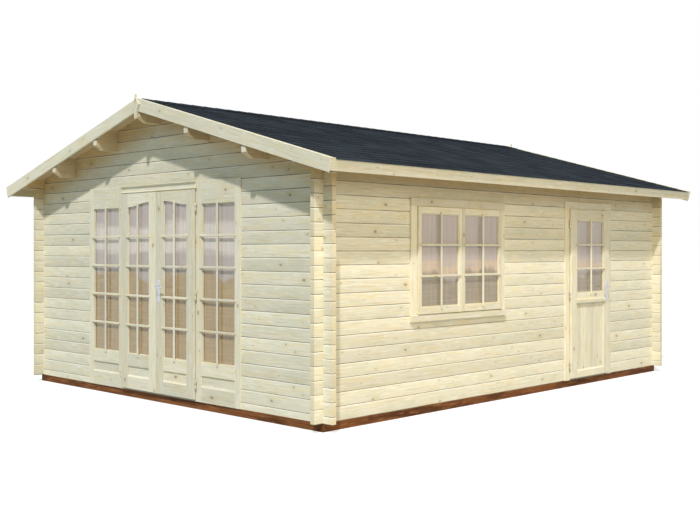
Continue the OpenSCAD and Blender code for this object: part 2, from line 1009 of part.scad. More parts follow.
module lever(x, z, way) {
    stand = plate_t + lever_stand;
    translate([x, 0, z])
        mirror([way < 0 ? 1 : 0, 0, 0]) {
            translate([0, -leaf_proud - neck_gap, 0])
                lever_arm(stand);
            translate([0, leaf_back + neck_gap, 0])
                mirror([0, 1, 0])
                    lever_arm(stand);
            translate([0, leaf_back + over, 0])
                rotate([90, 0, 0])
                    cylinder(h = leaf_t + 2 * over, r = spindle_r);
        }
}

module front_door_plates() {
    color(steel)
        on_front()
            plate_pair(leaf_gap / 2 + backset, front_lever_z);
}

module front_door_lever() {
    color(steel)
        on_front()
            lever(leaf_gap / 2 + backset, front_lever_z, 1);
}

// Window: a frame set in the logs, trim boards round the sashes and a thicker sill board
module window_frame() {
    half = sashes_w / 2;
    gap = sash_gap / 2;
    sill_top = sash_z0 - gap;
    trim_top = sash_z1 + gap + window_trim;
    color(joinery_wood)
        on_right(window_y)
            union() {
                push_y(0, log_t)
                    difference() {
                        box_outline(-window_half_w, window_sill_h, window_half_w, window_head_h);
                        box_outline(-half + lap, sash_z0 + lap, half - lap, sash_z1 - lap);
                    }
                push_y(-window_trim_t, 0)
                    difference() {
                        box_outline(-trim_half_w, sill_top - sill_h, trim_half_w, trim_top);
                        box_outline(-half - gap, sill_top, half + gap, sash_z1 + gap);
                    }
                push_x(-trim_half_w, trim_half_w)
                    polygon([
                        [-window_trim_t, sill_top - sill_h], [-sill_t, sill_top - sill_h],
                        [-sill_t, sill_top - sill_fall], [-window_trim_t, sill_top]
                    ]);
            }
}

// Sash standing in front of the frame, its glass opening in the middle
module sash_outline(x) {
    box_outline(x, sash_z0, x + sash_w, sash_z1);
}

module sash_glass_outline(x) {
    box_outline(x + sash_stile, sash_z0 + sash_rail, x + sash_w - sash_stile, sash_z1 - sash_rail);
}

function sash_places() = [-sashes_w / 2, sash_gap / 2];

module window_sashes() {
    color(joinery_wood)
        on_right(window_y)
            for (x = sash_places())
                push_y(-sash_t, 0)
                    difference() {
                        sash_outline(x);
                        sash_glass_outline(x);
                    }
}

// Panes of the window and of the two fixed side windows
module window_glass() {
    color(pane) {
        on_right(window_y)
            for (x = sash_places())
                push_y(-sash_t / 2 - glass_t / 2, -sash_t / 2 + glass_t / 2)
                    sash_glass_outline(x);
        for (side = [0, 1])
            mirror([side, 0, 0])
                on_front()
                    push_y(log_t / 2 - frame_proud, log_t / 2 - frame_proud + glass_t)
                        box_outline(panel_glass_x0, front_glass_z, panel_glass_x1, front_glass_top);
    }
}

module side_door_jambs() {
    edge = side_half - lap;
    head_z = side_leaf_top - lap;
    color(joinery_wood)
        on_right(side_door_y)
            for (side = [0, 1])
                mirror([side, 0, 0]) {
                    push_y(-frame_proud, 0)
                        box_outline(edge, 0, side_open_half + side_trim_lap, head_z);
                    push_y(0, log_t)
                        box_outline(edge, 0, side_open_half, head_z);
                }
}

module side_door_head() {
    head_z = side_leaf_top - lap;
    reach = side_open_half + side_trim_lap;
    color(joinery_wood)
        on_right(side_door_y) {
            push_y(-frame_proud, 0)
                box_outline(-reach, head_z, reach, side_open_h + side_trim_lap);
            push_y(0, log_t)
                box_outline(-side_open_half, head_z, side_open_half, side_open_h);
        }
}

module side_glass_outline() {
    box_outline(-side_glass_half, side_glass_z, side_glass_half, side_glass_top);
}

// Side leaf: glass over a drip board, and a recessed boarded panel below
module side_door() {
    inset = lap + leaf_gap;
    lip_back = -leaf_proud + lip_t;
    nose = -leaf_proud - drip_nose;
    color(joinery_wood)
        on_right(side_door_y)
            difference() {
                union() {
                    push_y(-leaf_proud, lip_back)
                        box_outline(-side_half, leaf_foot, side_half, side_leaf_top);
                    push_y(lip_back, leaf_back)
                        box_outline(-side_half + inset, leaf_foot, side_half - inset, side_leaf_top - inset);
                    push_x(-side_glass_half - drip_lap, side_glass_half + drip_lap)
                        polygon([
                            [-leaf_proud, side_panel_top], [nose, side_panel_top],
                            [nose, side_panel_top + drip_h / 2], [-leaf_proud, side_panel_top + drip_h]
                        ]);
                }
                push_y(-leaf_proud - over, leaf_back + over)
                    side_glass_outline();
                panel_recess(-side_glass_half, side_glass_half, side_bottom_z, side_panel_top, -leaf_proud);
                spindle_bore(side_half - backset, side_lever_z);
            }
}

module side_door_glass() {
    middle = (leaf_back - leaf_proud) / 2;
    color(pane)
        on_right(side_door_y)
            push_y(middle - glass_t / 2, middle + glass_t / 2)
                side_glass_outline();
}

module side_door_plates() {
    color(steel)
        on_right(side_door_y)
            plate_pair(side_half - backset, side_lever_z);
}

module side_door_lever() {
    color(steel)
        on_right(side_door_y)
            lever(side_half - backset, side_lever_z, -1);
}

base_side_beams();
base_end_beams();
floor_joists();
floor_boards();  // floor
left_wall();
back_wall();
front_wall_left();
front_wall_right();
front_gable();
right_wall_lower();
right_wall_front();
right_wall_middle();
right_wall_rear();
right_wall_top();
eave_logs();
purlins();
roof_boards_left();
roof_boards_right();
roofing_left();
roofing_right();
ridge_cap();
bargeboards_front();
bargeboards_back();
fascias();
finials();
side_window_left();
side_window_right();
front_door_head();
thresholds();
frame_hinges();
front_door_left();
front_door_left_glass();
front_left_hinges();
front_door_right();
front_door_right_glass();
front_right_hinges();
front_door_plates();
front_door_lever();
window_frame();
window_sashes();
window_glass();
side_door_jambs();
side_door_head();
side_door();
side_door_glass();
side_door_hinges();
side_door_plates();
side_door_lever();
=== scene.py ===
"""Looks of a log summer house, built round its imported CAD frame.

Metres. The origin is on the ground at the middle of the plan, and the front faces -Y.
Joinery is laid out as seen from outside: x to the right, -y outwards, z up from the base.
"""

import json
import math
import random
from collections import namedtuple

import bpy
from mathutils import Matrix, Vector


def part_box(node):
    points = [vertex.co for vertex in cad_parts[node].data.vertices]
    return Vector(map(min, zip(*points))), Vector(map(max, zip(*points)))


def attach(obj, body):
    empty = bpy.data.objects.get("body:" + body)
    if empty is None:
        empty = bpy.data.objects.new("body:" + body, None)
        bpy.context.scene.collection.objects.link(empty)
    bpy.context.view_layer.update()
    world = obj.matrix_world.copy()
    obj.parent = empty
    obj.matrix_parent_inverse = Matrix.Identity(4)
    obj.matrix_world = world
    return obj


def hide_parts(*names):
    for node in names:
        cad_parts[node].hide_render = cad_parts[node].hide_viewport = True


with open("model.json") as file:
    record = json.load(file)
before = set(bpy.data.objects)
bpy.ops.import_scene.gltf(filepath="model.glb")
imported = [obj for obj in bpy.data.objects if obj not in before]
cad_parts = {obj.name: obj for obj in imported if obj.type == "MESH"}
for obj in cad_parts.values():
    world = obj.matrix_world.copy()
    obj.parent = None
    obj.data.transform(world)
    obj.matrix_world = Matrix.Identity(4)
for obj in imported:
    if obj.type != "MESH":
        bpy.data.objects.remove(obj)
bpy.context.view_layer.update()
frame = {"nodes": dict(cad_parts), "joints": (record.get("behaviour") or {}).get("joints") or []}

# Sizes of the house, most of them read from the frame
BASE_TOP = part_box("base_side_beams")[1].z
FRONT_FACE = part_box("front_wall_left")[0].y
RIGHT_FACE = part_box("right_wall_lower")[1].x
LOG_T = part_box("front_wall_left")[1].y - FRONT_FACE
SILL_COURSES = 7
COURSE = (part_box("right_wall_lower")[1].z - BASE_TOP) / SILL_COURSES
FRONT_OPEN_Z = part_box("front_gable")[0].z - BASE_TOP
ROOF_PITCH = math.radians(15.6)
ROOF_SLOPE = math.tan(ROOF_PITCH)
ROOF_BOARD_T = 0.019
RIDGE_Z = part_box("roof_boards_right")[1].z - ROOF_BOARD_T / math.cos(ROOF_PITCH)

# Edges and gaps of the joinery
EASE = 0.0018
LEAF_LIP = 0.019
LEAF_REBATE = 0.019
PANEL_FOOT = 0.137
PANEL_TOP = 0.240
PANEL_DEPTH = 0.011
PANEL_T = 0.010
PANEL_BEVEL = 0.0154
BAR_W = 0.022
BAR_T = 0.011
BAR_LAP = 0.020
BAR_EASE = 0.0028
BAR_SET_BACK = 0.0006
BEAD = 0.009
ARCH_STEPS = 16
FRONT_ROWS = 5
WINDOW_ROWS = 3
LEAF_LAP = 0.013
FRAME_FACE = -0.013
SASH_GAP = 0.002
WINDOW_TRIM_T = 0.020
SILL_FALL = 0.005
SIDE_PANEL_FOOT = 0.090
SIDE_PANEL_TOP = 0.813
SIDE_BOARDS = 6
DRIP_H = 0.045
DRIP_LAP = 0.030
CORNICE_GAP = 0.006
CORNICE_BEAD = 0.007
CROWN_H = 0.008
CROWN_REACH = 0.016
RIB_H = 0.004
RIB_COUNT = 6
RIB_SHARE = 0.5

# Ironmongery
HINGE_R = 0.008
HINGE_ARM = 0.006
HINGE_ARM_INSET = 0.006
HINGE_EASE = 0.001
HINGE_LIFT = 0.0004
HINGE_DROP = 0.0006
# Profile of a cap: share of the radius, and height over the end of the barrel
HINGE_CAP = ((0, 0), (0.55, 0), (0.62, 0.002), (0.35, 0.005), (0, 0.006))
KNUCKLE_EASE = 0.3
PLATE_EASE = 0.0014
PLATE_SINK = 0.001
ROSE_R = 0.0125
ROSE_H = 0.004
SCREW_R = 0.0034
SCREW_H = 0.0012
SCREW_INSET = 0.013
KEYHOLE_DROP = 0.072
KEYHOLE_H = 0.0019
KEY_R = 0.0062
KEY_SLOT = 0.0024
KEY_EASE = 0.0003
LOCK_RIM = 0.0022
LOCK_H = 0.0016
LEVER_R = 0.008
LEVER_ROOT = 0.021
LEVER_BEND = LEVER_R * 1.6
LEVER_NECK_R = LEVER_R * 0.92
LEVER_TAPER = 0.10
LEVER_SHARES = (0.25, 0.5, 0.75, 1.0)
LEVER_TIP_ANGLES = (30, 55, 75, 88)
SPINDLE_R = 0.0045

# Axes by letter, those of a section across each, and those of an outline seen from outside
AXES = {"X": Vector((1, 0, 0)), "Y": Vector((0, 1, 0)), "Z": Vector((0, 0, 1))}
SECTION_AXES = {"X": "YZX", "Y": "ZXY", "Z": "XYZ"}
FACE_ON = ("X", "Z", -AXES["Y"])


def direction(axis):
    """Axis given by its letter or as a vector."""
    return AXES[axis] if isinstance(axis, str) else axis


# Node trees written as arithmetic

def math_node(operation):
    """Method that puts a Math node behind a value."""
    def method(self, *others):
        return self.nodes.math(operation, self, *others)
    return method


class Value:
    """Output of a node, with Python's operators as Math nodes."""

    def __init__(self, nodes, socket):
        self.nodes = nodes
        self.socket = socket

    __add__ = math_node("ADD")
    __sub__ = math_node("SUBTRACT")
    __mul__ = math_node("MULTIPLY")
    __truediv__ = math_node("DIVIDE")
    __pow__ = math_node("POWER")
    __abs__ = math_node("ABSOLUTE")
    floor = math_node("FLOOR")
    fraction = math_node("FRACT")
    root = math_node("SQRT")
    above = math_node("GREATER_THAN")

    def ramp(self, low, high, to_low=0.0, to_high=1.0):
        """Smooth step from to_low at low to to_high at high."""
        ends = {"From Min": low, "From Max": high, "To Min": to_low, "To Max": to_high}
        return self.nodes.value(
            "ShaderNodeMapRange", {"Value": self, **ends}, "Result", interpolation_type="SMOOTHSTEP"
        )

    def band(self, start, full, fade, end):
        """1 between full and fade, falling to 0 at start and at end."""
        return self.ramp(start, full) * self.ramp(end, fade)


class Nodes:
    """Node tree whose nodes are made by short calls."""

    def __init__(self, tree):
        self.tree = tree

    def fill(self, node, inputs):
        """Links or sets inputs of a node, given by name or number."""
        for key, value in inputs.items():
            socket = node.inputs[key]
            if isinstance(value, Value):
                self.tree.links.new(value.socket, socket)
            else:
                socket.default_value = value
        return node

    def node(self, kind, inputs, **settings):
        made = self.tree.nodes.new(kind)
        for key, setting in settings.items():
            setattr(made, key, setting)
        return self.fill(made, inputs)

    def value(self, kind, inputs, out=0, **settings):
        return Value(self, self.node(kind, inputs, **settings).outputs[out])

    def math(self, operation, *values):
        return self.value("ShaderNodeMath", dict(enumerate(values)), operation=operation)

    def vector(self, *numbers):
        return self.value("ShaderNodeCombineXYZ", dict(enumerate(numbers)))

    def split(self, vector):
        return [Value(self, out) for out in self.node("ShaderNodeSeparateXYZ", {0: vector}).outputs]

    def position(self):
        return self.split(self.value("ShaderNodeTexCoord", {}, "Object"))

    def attribute(self, name, out="Fac"):
        return self.value("ShaderNodeAttribute", {}, out, attribute_name=name)

    def random(self, number):
        return self.value("ShaderNodeTexWhiteNoise", {"W": number}, "Value", noise_dimensions="1D")

    def noise(self, place, scale, detail=3.0, roughness=0.55):
        inputs = {"Vector": place, "Scale": scale, "Detail": detail, "Roughness": roughness}
        return self.value("ShaderNodeTexNoise", inputs, "Fac")

    def streaks(self, x, y, z, detail=2.0):
        """Noise stretched by the scales in its three numbers."""
        return self.noise(self.vector(x, y, z), 1.0, detail)

    def nearest(self, number):
        """Scattered points on a line: the nearest one's place and three random numbers of it."""
        node = self.node("ShaderNodeTexVoronoi", {"W": number, "Scale": 1.0}, voronoi_dimensions="1D")
        return Value(self, node.outputs["W"]), self.split(Value(self, node.outputs["Color"]))

    def mix(self, share, first, second, blend="MIX"):
        first, second = (c if isinstance(c, Value) else (*c, 1.0) for c in (first, second))
        inputs = {0: share, 6: first, 7: second}
        return self.value("ShaderNodeMix", inputs, 2, data_type="RGBA", blend_type=blend)

    def shade(self, colour, light, share=1.0):
        """Colour made lighter or darker by a factor."""
        return self.mix(share, colour, self.vector(light, light, light), "MULTIPLY")


class Shader(Nodes):
    """Nodes of a new material."""

    def __init__(self, name):
        self.material = bpy.data.materials.new(name)
        self.material.use_nodes = True
        super().__init__(self.material.node_tree)

    def paint(self, colour, roughness, height, depth):
        """Colour, roughness and a bump of the given depth in metres."""
        bump = self.value("ShaderNodeBump", {"Strength": 1.0, "Distance": depth, "Height": height})
        self.surface({"Base Color": colour, "Roughness": roughness, "Normal": bump})
        return self.material

    def surface(self, inputs):
        self.fill(self.tree.nodes["Principled BSDF"], inputs)


# Grain: how a piece's own points map to the way along, across and through a board

Grain = namedtuple("Grain", "along across through seed end")

# Numbers that keep the random draws of each kind of timber apart
LOTS = {
    "side_logs": 0.0, "end_logs": 100.0, "purlins": 200.0, "finials": 300.0,
    "side_beams": 400.0, "end_beams": 450.0,
}
FAR_SIDE = 40.0
END_SLANT = 0.7
FINIAL_END_SLANT = 0.9
PURLIN_STEP = 0.4
PURLIN_DEPTH = 0.1
PURLIN_HALF = 0.095
PURLIN_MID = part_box("purlins")[1].z - PURLIN_HALF
BEAM_STEP = 0.5
BEAM_DEPTH = 0.05


def end_grain(s, way, slant=END_SLANT):
    """1 on faces that look along an axis."""
    normal = s.split(s.value("ShaderNodeTexCoord", {}, "Normal"))
    return abs(normal["XYZ".index(way)]).above(slant)


def board_grain(s):
    """Boards built here carry their grain as attributes."""
    ways = s.split(s.attribute("grain", "Vector"))
    return Grain(*ways, s.attribute("seed"), s.attribute("end"))


def log_grain(way, face, lift, lot):
    """Logs along X or Y, told apart by their course and the side of the house that they are on."""
    def grain(s):
        x, y, z = s.position()
        along, aside = (x, y) if way == "X" else (y, x)
        level = (z - BASE_TOP) / COURSE + lift
        course = level.floor()
        across = (level - course - 0.5) * COURSE
        seed = s.random(course + aside.above(0.0) * FAR_SIDE + LOTS[lot])
        return Grain(along, across, abs(aside) - (face - LOG_T), seed, end_grain(s, way))
    return grain


def purlin_grain(s):
    """Purlins, told apart by how far they stand from the ridge."""
    x, y, z = s.position()
    across = z + abs(x) * ROOF_SLOPE - PURLIN_MID
    step = x / PURLIN_STEP
    seed = s.random(step.floor() + LOTS["purlins"])
    return Grain(y, across, step.fraction() * PURLIN_DEPTH, seed, end_grain(s, "Y"))


def finial_grain(s):
    """Upright boards, one at each end of the ridge."""
    x, y, z = s.position()
    seed = s.random(y.above(0.0) + LOTS["finials"])
    return Grain(z, x, y, seed, end_grain(s, "Z", FINIAL_END_SLANT))


def beam_grain(way, lot):
    """Base beams along X or Y, told apart by where they stand on the other axis."""
    def grain(s):
        x, y, z = s.position()
        along, aside = (x, y) if way == "X" else (y, x)
        seed = s.random((aside / BEAM_STEP).floor() + LOTS[lot])
        return Grain(along, z - BASE_TOP / 2, aside.fraction() * BEAM_DEPTH, seed, end_grain(s, way))
    return grain


# Woods: pale, cool and warm tones, late wood, knots and end grain

SPRUCE = {
    "light": (0.85, 0.815, 0.65), "cool": (0.77, 0.765, 0.605), "warm": (0.86, 0.765, 0.49),
    "late": (0.645, 0.555, 0.32), "knot": (0.30, 0.205, 0.115), "end": (0.80, 0.68, 0.41),
    "pale": (0.95, 0.935, 0.80),
}
PLANED = {
    "light": (0.83, 0.795, 0.635), "cool": (0.775, 0.76, 0.60), "warm": (0.835, 0.74, 0.46),
    "late": (0.66, 0.575, 0.355), "knot": (0.34, 0.24, 0.14), "end": (0.78, 0.67, 0.42),
    "pale": (0.93, 0.91, 0.765),
}
# Darker, warmer wood for the roof boards: painted shade and warm bounce for their undersides
SOFFIT = {
    "light": (0.72, 0.585, 0.36), "cool": (0.64, 0.53, 0.33), "warm": (0.74, 0.56, 0.29),
    "late": (0.50, 0.37, 0.20), "knot": (0.26, 0.165, 0.085), "end": (0.72, 0.59, 0.35),
    "pale": (0.82, 0.70, 0.47),
}
# Purlins: sides in the darker painted-shade wood, end grain painted pale as if lit
PURLIN = {**SOFFIT, "end": SPRUCE["pale"]}
TREATED = {
    "light": (0.235, 0.090, 0.030), "cool": (0.105, 0.040, 0.015), "warm": (0.32, 0.135, 0.045),
    "late": (0.060, 0.021, 0.009), "knot": (0.035, 0.014, 0.008), "end": (0.13, 0.052, 0.022),
    "pale": (0.38, 0.165, 0.058),
}

# Noises in wood: scale along, across and through the grain, shift and turn from board to board, detail
WOOD_NOISES = {
    "wobble": (1.1, 7.0, 7.0, 37.0, 0.0, 3.0),
    "blotch": (1.3, 6.0, 0.0, 53.0, 20.0, 3.0),
    "stain": (3.2, 26.0, 0.0, 71.0, 31.0, 3.0),
    "sap": (8.0, 48.0, 48.0, 29.0, 0.0, 3.0),
    "streak": (4.0, 70.0, 70.0, 91.0, 0.0, 2.0),
    "fibre": (9.0, 320.0, 320.0, 0.0, 0.0, 2.0),
}
# Tones laid over the cool one: noise, where it starts and is full, its share, colour
WOOD_TONES = (
    ("blotch", 0.38, 0.58, 1.0, "light"), ("stain", 0.46, 0.70, 0.75, "warm"),
    ("sap", 0.50, 0.72, 0.7, "pale"),
)
STREAK_RAMP = (0.48, 0.76)
STREAK_SHARE = 0.5
BRIGHT_LOW = 0.885
BRIGHT_RANGE = 0.20

RING_STEP = 0.0052
RING_WOBBLE = 0.018
RING_BEND = 0.006
RING_SHARE = 0.24
PITH_SPREAD = 0.12
PITH_NEAR = 0.02
PITH_RANGE = 0.06
FIBRE_SHARE = 0.08
WOOD_RELIEF = 0.0007
WOOD_ROUGHNESS = 0.60

KNOT_SMALL = 0.003
KNOT_LARGE = 0.0115
KNOT_STRETCH = 0.4
KNOT_RAGS = 90.0
KNOT_RAGGEDNESS = 1.6
# Distance from a knot's middle, in its own radii, where its core and halo start and are full
KNOT_CORE = (1.5, 0.4)
KNOT_HALO = (6.0, 1.0)
HALO_SHARE = 0.26
END_SHARE = 0.6

JOINT_COLOUR = (0.125, 0.082, 0.030)
JOINT_W = 0.0075
JOINT_PATCHES = (0.32, 0.62, 0.55, 1.0)
# Width of the painted highlight along each log's upper edge
LOG_EDGE_HIGHLIGHT_W = 0.016
# Painted shading across each log: the factor at its foot and at its top
LOG_PAINTED_SHADING = (0.955, 1.035)
# Painted shade and warm bounce right under the roof: where it is full, where it ends, and its tint
ROOF_SHADE_NEAR = 0.10
ROOF_SHADE_FAR = 0.36
ROOF_SHADE_TINT = (0.84, 0.68, 0.44)


def wood_noise(s, grain, along, across, through, shift, turn, detail):
    """Noise stretched along the grain, different in each board."""
    return s.streaks(
        grain.along * along + grain.seed * shift,
        grain.across * across,
        grain.through * through + grain.seed * turn,
        detail,
    )


def knots(s, grain, step, spread, share):
    """Knots strewn along a board: their dark cores, the halo round them and their girth."""
    spot = grain.along / step + grain.seed * 57.0
    middle, (lift, girth, chance) = s.nearest(spot)
    place = s.vector(grain.along, grain.across, grain.through)
    ragged = s.noise(place, KNOT_RAGS, 2.0) - 0.5
    ahead = (spot - middle) * step
    aside = grain.across - (lift - 0.5) * spread
    size = girth ** 3.0 * KNOT_LARGE + KNOT_SMALL
    reach = (ahead ** 2.0 * KNOT_STRETCH + aside ** 2.0).root() / size + ragged * KNOT_RAGGEDNESS
    present = (chance * -1.0 + 1.0).above(1.0 - share)
    return reach.ramp(*KNOT_CORE) * present, reach.ramp(*KNOT_HALO) * present, girth


def growth_rings(s, grain, wobble, halo):
    """Late wood of the rings round a pith, bent where they pass a knot."""
    pith = grain.seed * 91.0
    aside = grain.across - (s.random(pith + 1.0) - 0.5) * PITH_SPREAD
    deep = grain.through + (s.random(pith + 2.0) * PITH_RANGE + PITH_NEAR)
    radius = (aside ** 2.0 + deep ** 2.0).root()
    bent = radius + (wobble - 0.5) * RING_WOBBLE + halo * RING_BEND
    return (bent / RING_STEP).fraction() ** 3.0


def painted_roof_shade(s):
    """1 right under the roof, where the wood takes a darker, warmer tint as painted shade and warm bounce,
    falling to 0 below.
    """
    x, _, z = s.position()
    below_roof = abs(x) * -ROOF_SLOPE - z + RIDGE_Z
    return below_roof.ramp(ROOF_SHADE_FAR, ROOF_SHADE_NEAR)


def log_edges(s, grain, colour, palette):
    """Log painted darker towards its foot and lighter towards its top as shading, with a painted highlight
    along its upper edge, painted shade under the roof and a dark seam at its foot.
    """
    patches = s.streaks(grain.along * 3.0, grain.seed * 60.0, 0.0).ramp(*JOINT_PATCHES)
    # Painted highlight: a pale band along the upper edge of each log, where light catches it
    painted_edge_highlight = (grain.across * -1.0 + COURSE / 2).ramp(LOG_EDGE_HIGHLIGHT_W, 0.0)
    seam = (grain.across + COURSE / 2).ramp(JOINT_W, JOINT_W / 4)
    # Painted shading: each log made darker towards its foot and lighter towards its top
    painted_log_shading = (grain.across / COURSE + 0.5).ramp(0.0, 1.0, *LOG_PAINTED_SHADING)
    colour = s.shade(colour, painted_log_shading)
    # Painted shade: a darker, warmer tint on the wood right under the roof
    colour = s.mix(painted_roof_shade(s), colour, ROOF_SHADE_TINT, "MULTIPLY")
    colour = s.mix(painted_edge_highlight * patches, colour, palette["pale"])
    return s.mix(seam * patches, colour, JOINT_COLOUR)


def wood(
    name, grain_of, palette, knot_step=0.30, knot_spread=0.085, knot_share=0.5, logs=False, shine=0.25
):
    """Sawn wood: tones, rings and fibres, knots that the rings bend round, and on logs their joints,
    painted shading across each log, a painted highlight on its upper edge and painted shade under the roof.
    """
    s = Shader(name)
    grain = grain_of(s)
    noise = {kind: wood_noise(s, grain, *scales) for kind, scales in WOOD_NOISES.items()}
    fibre = noise["fibre"]
    knot, halo, girth = knots(s, grain, knot_step, knot_spread, knot_share)
    ring = growth_rings(s, grain, noise["wobble"], halo)
    colour = palette["cool"]
    for kind, start, full, share, tone in WOOD_TONES:
        colour = s.mix(noise[kind].ramp(start, full) * share, colour, palette[tone])
    late = noise["streak"].ramp(*STREAK_RAMP) * STREAK_SHARE + ring * RING_SHARE + fibre * FIBRE_SHARE
    for share, tone in (
        (late, "late"), (halo * HALO_SHARE, "late"), (knot * (girth * 0.5 + 0.3), "knot"),
        (grain.end * END_SHARE, "end"),
    ):
        colour = s.mix(share, colour, palette[tone])
    bright = s.random(grain.seed * 17.0 + 5.0) * BRIGHT_RANGE + BRIGHT_LOW
    colour = s.shade(colour, bright)
    if logs:
        colour = log_edges(s, grain, colour, palette)
    s.surface({"Specular IOR Level": shine})
    height = fibre * 0.35 - ring * 0.5 - knot * 0.6
    return s.paint(colour, fibre * 0.16 + knot * -0.12 + WOOD_ROUGHNESS, height, WOOD_RELIEF)


# Felt, metal and glass

FELT_DARK = (0.0115, 0.016, 0.0215)
FELT_PALE = (0.039, 0.051, 0.065)
FELT_SHINE = 0.03
GRANULES = 420.0
GRANULE_H = 0.0012
FELT_CLOUDS = 2.2


def shingle_felt():
    """Bitumen shingle: slate granules, each tab a little lighter or bluer than the next."""
    s = Shader("shingle_felt")
    place = s.vector(*s.position())
    seed = s.attribute("seed")
    granule = s.noise(place, GRANULES, 2.0, 0.8)
    cloud = s.noise(place, FELT_CLOUDS, 3.0)
    share = seed ** 2.0 * 0.36 + cloud.ramp(0.35, 0.70) * 0.34 + granule.ramp(0.55, 0.85) * 0.30
    s.surface({"Specular IOR Level": FELT_SHINE})
    return s.paint(s.mix(share, FELT_DARK, FELT_PALE), granule * 0.1 + 0.82, granule, GRANULE_H)


METAL_STREAKS = {"X": (6.0, 900.0, 900.0), "Z": (900.0, 900.0, 6.0)}
METAL_PATCHES = 35.0
METAL_RELIEF = 0.00006
METAL_SHADE = 0.7


def metal(name, colour, rough, streak_axis):
    """Satin metal with fine streaks along one axis and dull patches."""
    s = Shader(name)
    place = s.position()
    scales = METAL_STREAKS[streak_axis]
    streak = s.streaks(*(c * scale for c, scale in zip(place, scales)))
    dull = s.noise(s.vector(*place), METAL_PATCHES, 2.0)
    shade = s.mix(streak * 0.25 + dull * 0.15, colour, [c * METAL_SHADE for c in colour])
    s.surface({"Metallic": 1.0})
    return s.paint(shade, streak * 0.12 + dull * 0.12 + rough, streak, METAL_RELIEF)


# Colours of the painted reflection in the panes
GLASS_BROWN = (0.65, 0.46, 0.21)
GLASS_UMBER = (0.51, 0.42, 0.28)
GLASS_LILAC = (0.63, 0.54, 0.475)
GLASS_CREAM = (0.92, 0.83, 0.72)
GLASS_ORANGE = (0.80, 0.62, 0.42)
GLASS_ALPHA = 0.68
GLASS_RELIEF = 0.00002
# Height and blur of the hedge in the painted reflection
HEDGE_Z = 1.13
HEDGE_H = 0.22
HEDGE_BLUR = 0.03
# Heights where a band of the painted reflection starts, is full, fades and ends
HORIZON_BAND = (1.22, 1.27, 1.29, 1.36)
CLOUD_BAND = (1.38, 1.47, 1.62, 1.74)
WISP_H = 0.35


def painted_reflection_glass():
    """Float glass with a painted reflection of a dusk view: a brown hedge, a pale horizon and lilac cloud.
    """
    s = Shader("painted_reflection_glass")
    x, y, z = s.position()
    at_front = (y * -1.0).above(abs(FRONT_FACE) - LOG_T * 2)
    way = x + y
    dust = s.noise(s.vector(x, y, z), 14.0, 4.0)
    crowns = s.streaks(way * 1.6, at_front * 7.0, 3.0, detail=5.0)
    hedge_top = z - crowns.ramp(0.3, 0.75) * HEDGE_H
    hedge = hedge_top.ramp(HEDGE_Z + HEDGE_BLUR, HEDGE_Z - HEDGE_BLUR)
    wisp = s.streaks(way * 1.1, z * 7.0, at_front * 5.0, detail=4.0) - 0.5
    lift = z + wisp * WISP_H
    horizon = lift.band(*HORIZON_BAND) * (at_front * -1.0 + 1.0)
    # Painted reflection: lilac sky, an orange horizon on the side panes, cream cloud on the front ones and
    # a brown hedge below
    colour = s.mix(horizon * 0.9, GLASS_LILAC, GLASS_ORANGE)
    colour = s.mix(lift.band(*CLOUD_BAND) * at_front, colour, GLASS_CREAM)
    colour = s.mix(hedge, colour, s.mix(at_front, GLASS_UMBER, GLASS_BROWN))
    # Painted streaks over the reflected hedge, then down the whole pane
    grate = s.streaks(way * 2.0, z * 55.0, 9.0).ramp(0.35, 0.70, 0.88, 1.05)
    colour = s.shade(colour, grate, hedge)
    drape = s.streaks(way * 60.0, z * 1.5, 4.0).ramp(0.35, 0.65, 0.90, 1.05)
    colour = s.shade(colour, drape)
    alpha = dust * 0.10 + hedge * -0.12 + GLASS_ALPHA
    s.surface({"Alpha": alpha, "IOR": 1.5, "Specular IOR Level": 1.0, "Coat Weight": 1.0})
    return s.paint(colour, dust * 0.05 + 0.02, dust, GLASS_RELIEF)


# Meshes

def inset(outline, step):
    """Outline moved inwards by a step, corner by corner. It runs counter-clockwise."""
    moved = []
    for i, here in enumerate(outline):
        before = Vector(outline[i - 1])
        after = Vector(outline[(i + 1) % len(outline)])
        here = Vector(here)
        a = (here - before).normalized()
        b = (after - here).normalized()
        inward_a = Vector((-a.y, a.x))
        inward = inward_a + Vector((-b.y, b.x))
        moved.append(here + inward * (step / inward.dot(inward_a)))
    return moved


def eased_box(u0, v0, u1, v1, ease):
    """Rectangle with its corners cut off."""
    return [
        (u0 + ease, v0), (u1 - ease, v0), (u1, v0 + ease), (u1, v1 - ease),
        (u1 - ease, v1), (u0 + ease, v1), (u0, v1 - ease), (u0, v0 + ease),
    ]


def arc(centre, radius, start, end, steps):
    """Points on a circle, with the angles in degrees."""
    angles = [math.radians(start + (end - start) * i / steps) for i in range(steps + 1)]
    return [(centre[0] + radius * math.cos(t), centre[1] + radius * math.sin(t)) for t in angles]


def circle(u, v, radius, steps):
    """Points round a circle, as seen from its middle."""
    angles = (2 * math.pi * k / steps for k in range(steps))
    return [(u * math.cos(t) + v * math.sin(t)) * radius for t in angles]


def corners(points):
    """Lowest and highest corner of the box round the points."""
    return Vector(map(min, zip(*points))), Vector(map(max, zip(*points)))


def put(name, data):
    """New object in the scene."""
    made = bpy.data.objects.new(name, data)
    bpy.context.scene.collection.objects.link(made)
    return made


def ring_faces(rings, n):
    """Faces that close the first and last of a stack of rings of n points, then those round it."""
    last = (rings - 1) * n
    faces = [list(range(n))[::-1], [last + i for i in range(n)]]
    for k in range(0, last, n):
        for i in range(n):
            j = (i + 1) % n
            faces.append([k + i, k + j, k + n + j, k + n + i])
    return faces


GRAIN_SHIFT = 40


